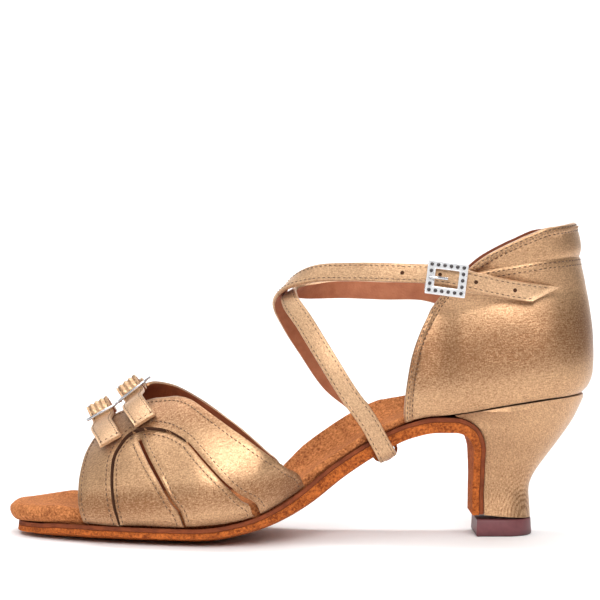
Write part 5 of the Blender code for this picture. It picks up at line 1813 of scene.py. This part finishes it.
def tubePiece(name, points, radius, replaced=(), count=14, finish="silver"):
    points = [Vector(p) for p in splineThrough([tuple(p) for p in points], 6)]
    rings = []
    for i, point in enumerate(points):
        before, after = neighbours(points, i)
        along = (after - before).normalized()
        first = along.cross(Vector((0.31, 0.17, 0.93))).normalized()
        second = along.cross(first)
        ring = []
        for k in range(count):
            turn = 2 * math.pi * k / count
            ring.append(point + (first * math.cos(turn) + second * math.sin(turn)) * radius)
        rings.append(ring)
    return ringPiece(name, rings, [finish], "silver", replaced)


buckleStyle = {"studs": 18, "studSize": 0.0015, "studLift": 0.0002, "bevel": 0.0004}


def makeAnkleBuckle():
    centre, right, up = buckleFrame()
    back = up.cross(right)
    frameBody(
        "ankleBuckleFrame", centre, right, up, buckleLength, buckleHeight, buckleRim, buckleThickness,
        buckleStyle["bevel"], ("ankle_buckle",), "plate",
    )
    halfWidth = (buckleLength - buckleRim) / 2
    halfHeight = (buckleHeight - buckleRim) / 2
    face = centre - back * (buckleThickness / 2 + buckleStyle["studLift"])
    corners = []
    for a, b in ((-1, -1), (1, -1), (1, 1), (-1, 1), (-1, -1)):
        corners.append(face + right * a * halfWidth + up * b * halfHeight)
    around = 4 * (halfWidth + halfHeight)
    size = buckleStyle["studSize"]
    # The studs take dark metal as painted shade and reflection
    beadRows("buckleStuds", [corners], "silver", "studShade", around / buckleStyle["studs"], size, size)
    left = -right * (buckleLength / 2 - 0.0012)
    top = up * (buckleHeight / 2 - 0.0010)
    depth = strapThickness + 7 * gap + buckleThickness / 2 + hingeRadius + tabThickness
    corner = back * depth - right * 0.0012
    tubePiece("buckleHinge", [
        centre + left + top,
        centre + left + top + back * depth * 0.5 - right * 0.0008,
        centre + left + top * 0.92 + corner * 0.93,
        centre + left + top * 0.75 + corner,
        centre + left - top * 0.75 + corner,
        centre + left - top * 0.92 + corner * 0.93,
        centre + left - top + back * depth * 0.5 - right * 0.0008,
        centre + left - top,
    ], hingeRadius)
    start = centre - right * (buckleLength / 2 - buckleRim * 0.4)
    lift = -back * (buckleThickness / 2 + gap + prongRadius)
    end = centre + right * 0.0004
    tubePiece("bucklePin", [
        start + lift,
        start + lift + right * 0.0026,
        (start + lift + end) / 2 + right * 0.0012,
        end - back * (prongRadius - buckleThickness / 2),
    ], prongRadius, ("ankle_buckle_prong",))
    hinge = centre + left + corner
    off = gap + tabThickness / 2
    rows = [onCounter(p, h, off + bindingStep, -1) for p, h in tabRows]
    ring = hingeRadius + gap + tabThickness / 2
    for turn in (100, 140, 180, 220, 260):
        lean = math.radians(turn)
        outward = right * math.cos(lean) - back * math.sin(lean)
        rows.append(tuple(hinge + outward * ring) + tuple(outward))
    rows.append(tuple(hinge + right * 0.0042 + back * ring) + tuple(back))
    makeStrap("buckleTab", rows, tabWidth, tabThickness, 8, ("buckle_tab",))


makeAnkleBuckle()


# each short strap's frame has a fine hook at its rear
pinStyle = {"radius": 0.00042, "aside": 0.3, "path": ((0, 0), (0.0016, 0.0002), (0.0034, 0.0001))}


def makeVampFrames():
    for strapName, row in vampStraps.items():
        centre, along = vampFrameAt(row)[:2]
        frameBody(
            "vampFrame" + strapName.capitalize(), centre, along, Vector((0, -1, 0)), frameLength, frameSide,
            frameWire, frameWire, frameWire * 0.36, ("vamp_buckle_" + strapName,),
        )
        rear = frameLength / 2 - frameWire * 0.5
        pin = centre + along * rear + Vector((0, -frameSide * pinStyle["aside"], 0))
        hook = [pin + along * ahead + Vector((0, 0, rise)) for ahead, rise in pinStyle["path"]]
        tubePiece("vampPin" + strapName.capitalize(), hook, pinStyle["radius"])


makeVampFrames()

holeStyle = {"radius": 0.00080, "places": (0.0413, 0.0553, 0.0691, 0.0849)}


def makeHoles():
    # Each hole is a near-black disc just proud of the strap's top face, painted shade of the hole; the strap
    # is not cut
    outerPass = longFrames[: len(longFrames) // 3]
    for n, place in enumerate(holeStyle["places"]):
        centre, along, outward, across = min(outerPass, key=lambda f: abs(f[0].x - place))
        rings = []
        for high, size in ((0.2, 1.0), (0.54, 1.0), (0.55, 0.8), (0.55, 0.3)):
            ring = []
            for k in range(18):
                turn = 2 * math.pi * k / 18
                spread = (along * math.cos(turn) + across * math.sin(turn)) * holeStyle["radius"] * size
                ring.append(centre + outward * strapThickness * high + spread)
            rings.append(ring)
        ringPiece("strapHoleShade" + str(n + 1), rings, ["holeSeamShade"], "satin")


makeHoles()


heelTipStyle = {
    "over": 0.0002,  # how far it stands out beyond the heel's foot
    "rims": (  # height, then height counted from the top, and how far the ring spreads
        (0.0, 0, -0.0004), (0.0002, 0, 0.0), (0.0006, 0, 0.0003),
        (-0.0006, 1, 0.0), (-0.0002, 1, -0.0001), (0.0, 1, -0.0004),
    ),
}


def makeHeelTip():
    front = solePoint(soleEnd, 0, midsoleTop(soleEnd) + gap).x - topLiftFront
    back = pathX(heelRows[0][1]) + heelTipStyle["over"]
    half = heelRows[0][3] * heelSeatWidth + heelTipStyle["over"]
    rings = []
    for height, fromTop, spread in heelTipStyle["rims"]:
        z = topLiftHeight * fromTop + height
        ring = [Vector((front - spread, -half - spread, z))]
        for i in range(41):
            turn = -math.pi / 2 + math.pi * i / 40
            x = front + (back - front) * (0.5 + 0.5 * math.cos(turn)) + spread * math.cos(turn)
            ring.append(Vector((x, (half + spread) * math.sin(turn), z)))
        ring.append(Vector((front - spread, half + spread, z)))
        rings.append(ring)
    ringPiece("heelTip", rings, ["rubber"], "rubber", ("top_lift",))


makeHeelTip()
print("metal and heel tip made")


# Floor, light and camera

stageStyle = {
    "floorTone": (0.93, 0.925, 0.93), "worldLight": 0.10,
    "floorFront": -1.05, "floorBack": 1.1, "floorSide": 3.5, "bend": 0.8, "wallTop": 3.0,
    "lens": 117.1, "sensor": 36, "camera": (0, -0.800, 0.110), "tilt": 1.03,
    "lights": (  # name, place, size, power, spread in degrees, target
        ("keyLight", (-0.20, -0.30, 1.30), (2.2, 1.5), 13.0, 180, (0, 0, 0.05)),
        ("frontLight", (0.10, -1.35, 0.92), (1.5, 0.80), 4.9, 75, (0, 0, 0.06)),
        ("sideLight", (-1.3, -0.7, 0.55), (0.7, 0.7), 3.0, 180, (0, 0, 0.06)),
        ("backdropLight", (0.0, 0.55, 1.7), (2.6, 0.5), 40.0, 180, (0, 1.7, 0.25)),
    ),
}


def makeStage():
    back = stageStyle["floorBack"]
    bend = stageStyle["bend"]
    side = stageStyle["floorSide"]
    profile = [(stageStyle["floorFront"], 0.0), (back, 0.0)]
    for i in range(1, 13):
        turn = math.pi / 2 * i / 12
        profile.append((back + bend * math.sin(turn), bend - bend * math.cos(turn)))
    profile.append((back + bend, stageStyle["wallTop"]))
    vertices = [(x, y, z) for x in (-side, side) for y, z in profile]
    count = len(profile)
    faces = [(i, i + count, i + count + 1, i + 1) for i in range(count - 1)]
    mesh = bpy.data.meshes.new("studioFloor")
    mesh.from_pydata(vertices, [], faces)
    mesh.shade_smooth()
    finish = Finish("floorPaper", Roughness=0.9)
    tone = finish.noise(finish.place(), 3.0, 2.0, 0.55)
    floorTone = stageStyle["floorTone"]
    finish.feed("Base Color", finish.mix(tone, tuple(c * 0.99 for c in floorTone), floorTone))
    mesh.materials.append(finish.material)
    floor = newObject("studioFloor", mesh)
    world = bpy.data.worlds.new("studio")
    bpy.context.scene.world = world
    world.use_nodes = True
    world.node_tree.nodes["Background"].inputs[0].default_value = (1, 1, 1, 1)
    world.node_tree.nodes["Background"].inputs[1].default_value = stageStyle["worldLight"]
    for name, place, size, power, spread, target in stageStyle["lights"]:
        light = bpy.data.lights.new(name, "AREA")
        light.shape = "RECTANGLE"
        light.size = size[0]
        light.size_y = size[1]
        light.energy = power
        light.spread = math.radians(spread)
        lamp = newObject(name, light)
        lamp.location = place
        lamp.rotation_euler = (Vector(target) - Vector(place)).to_track_quat("-Z", "Y").to_euler()
    view = bpy.data.cameras.new("camera")
    view.lens = stageStyle["lens"]
    view.sensor_width = stageStyle["sensor"]
    camera = newObject("camera", view)
    camera.location = Vector(stageStyle["camera"]) + originShift
    camera.rotation_euler = (math.radians(90 - stageStyle["tilt"]), 0, 0)
    bpy.context.scene.camera = camera
    bpy.context.scene.view_settings.view_transform = "Standard"


makeStage()

for piece, slotName, replaced in pieces:
    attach(piece, "root")
    if replaced:
        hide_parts(*replaced)
triangles = sum(len(piece.data.loop_triangles) or len(piece.data.polygons) for piece, _, _ in pieces)
print("pieces", len(pieces), "triangles", triangles)
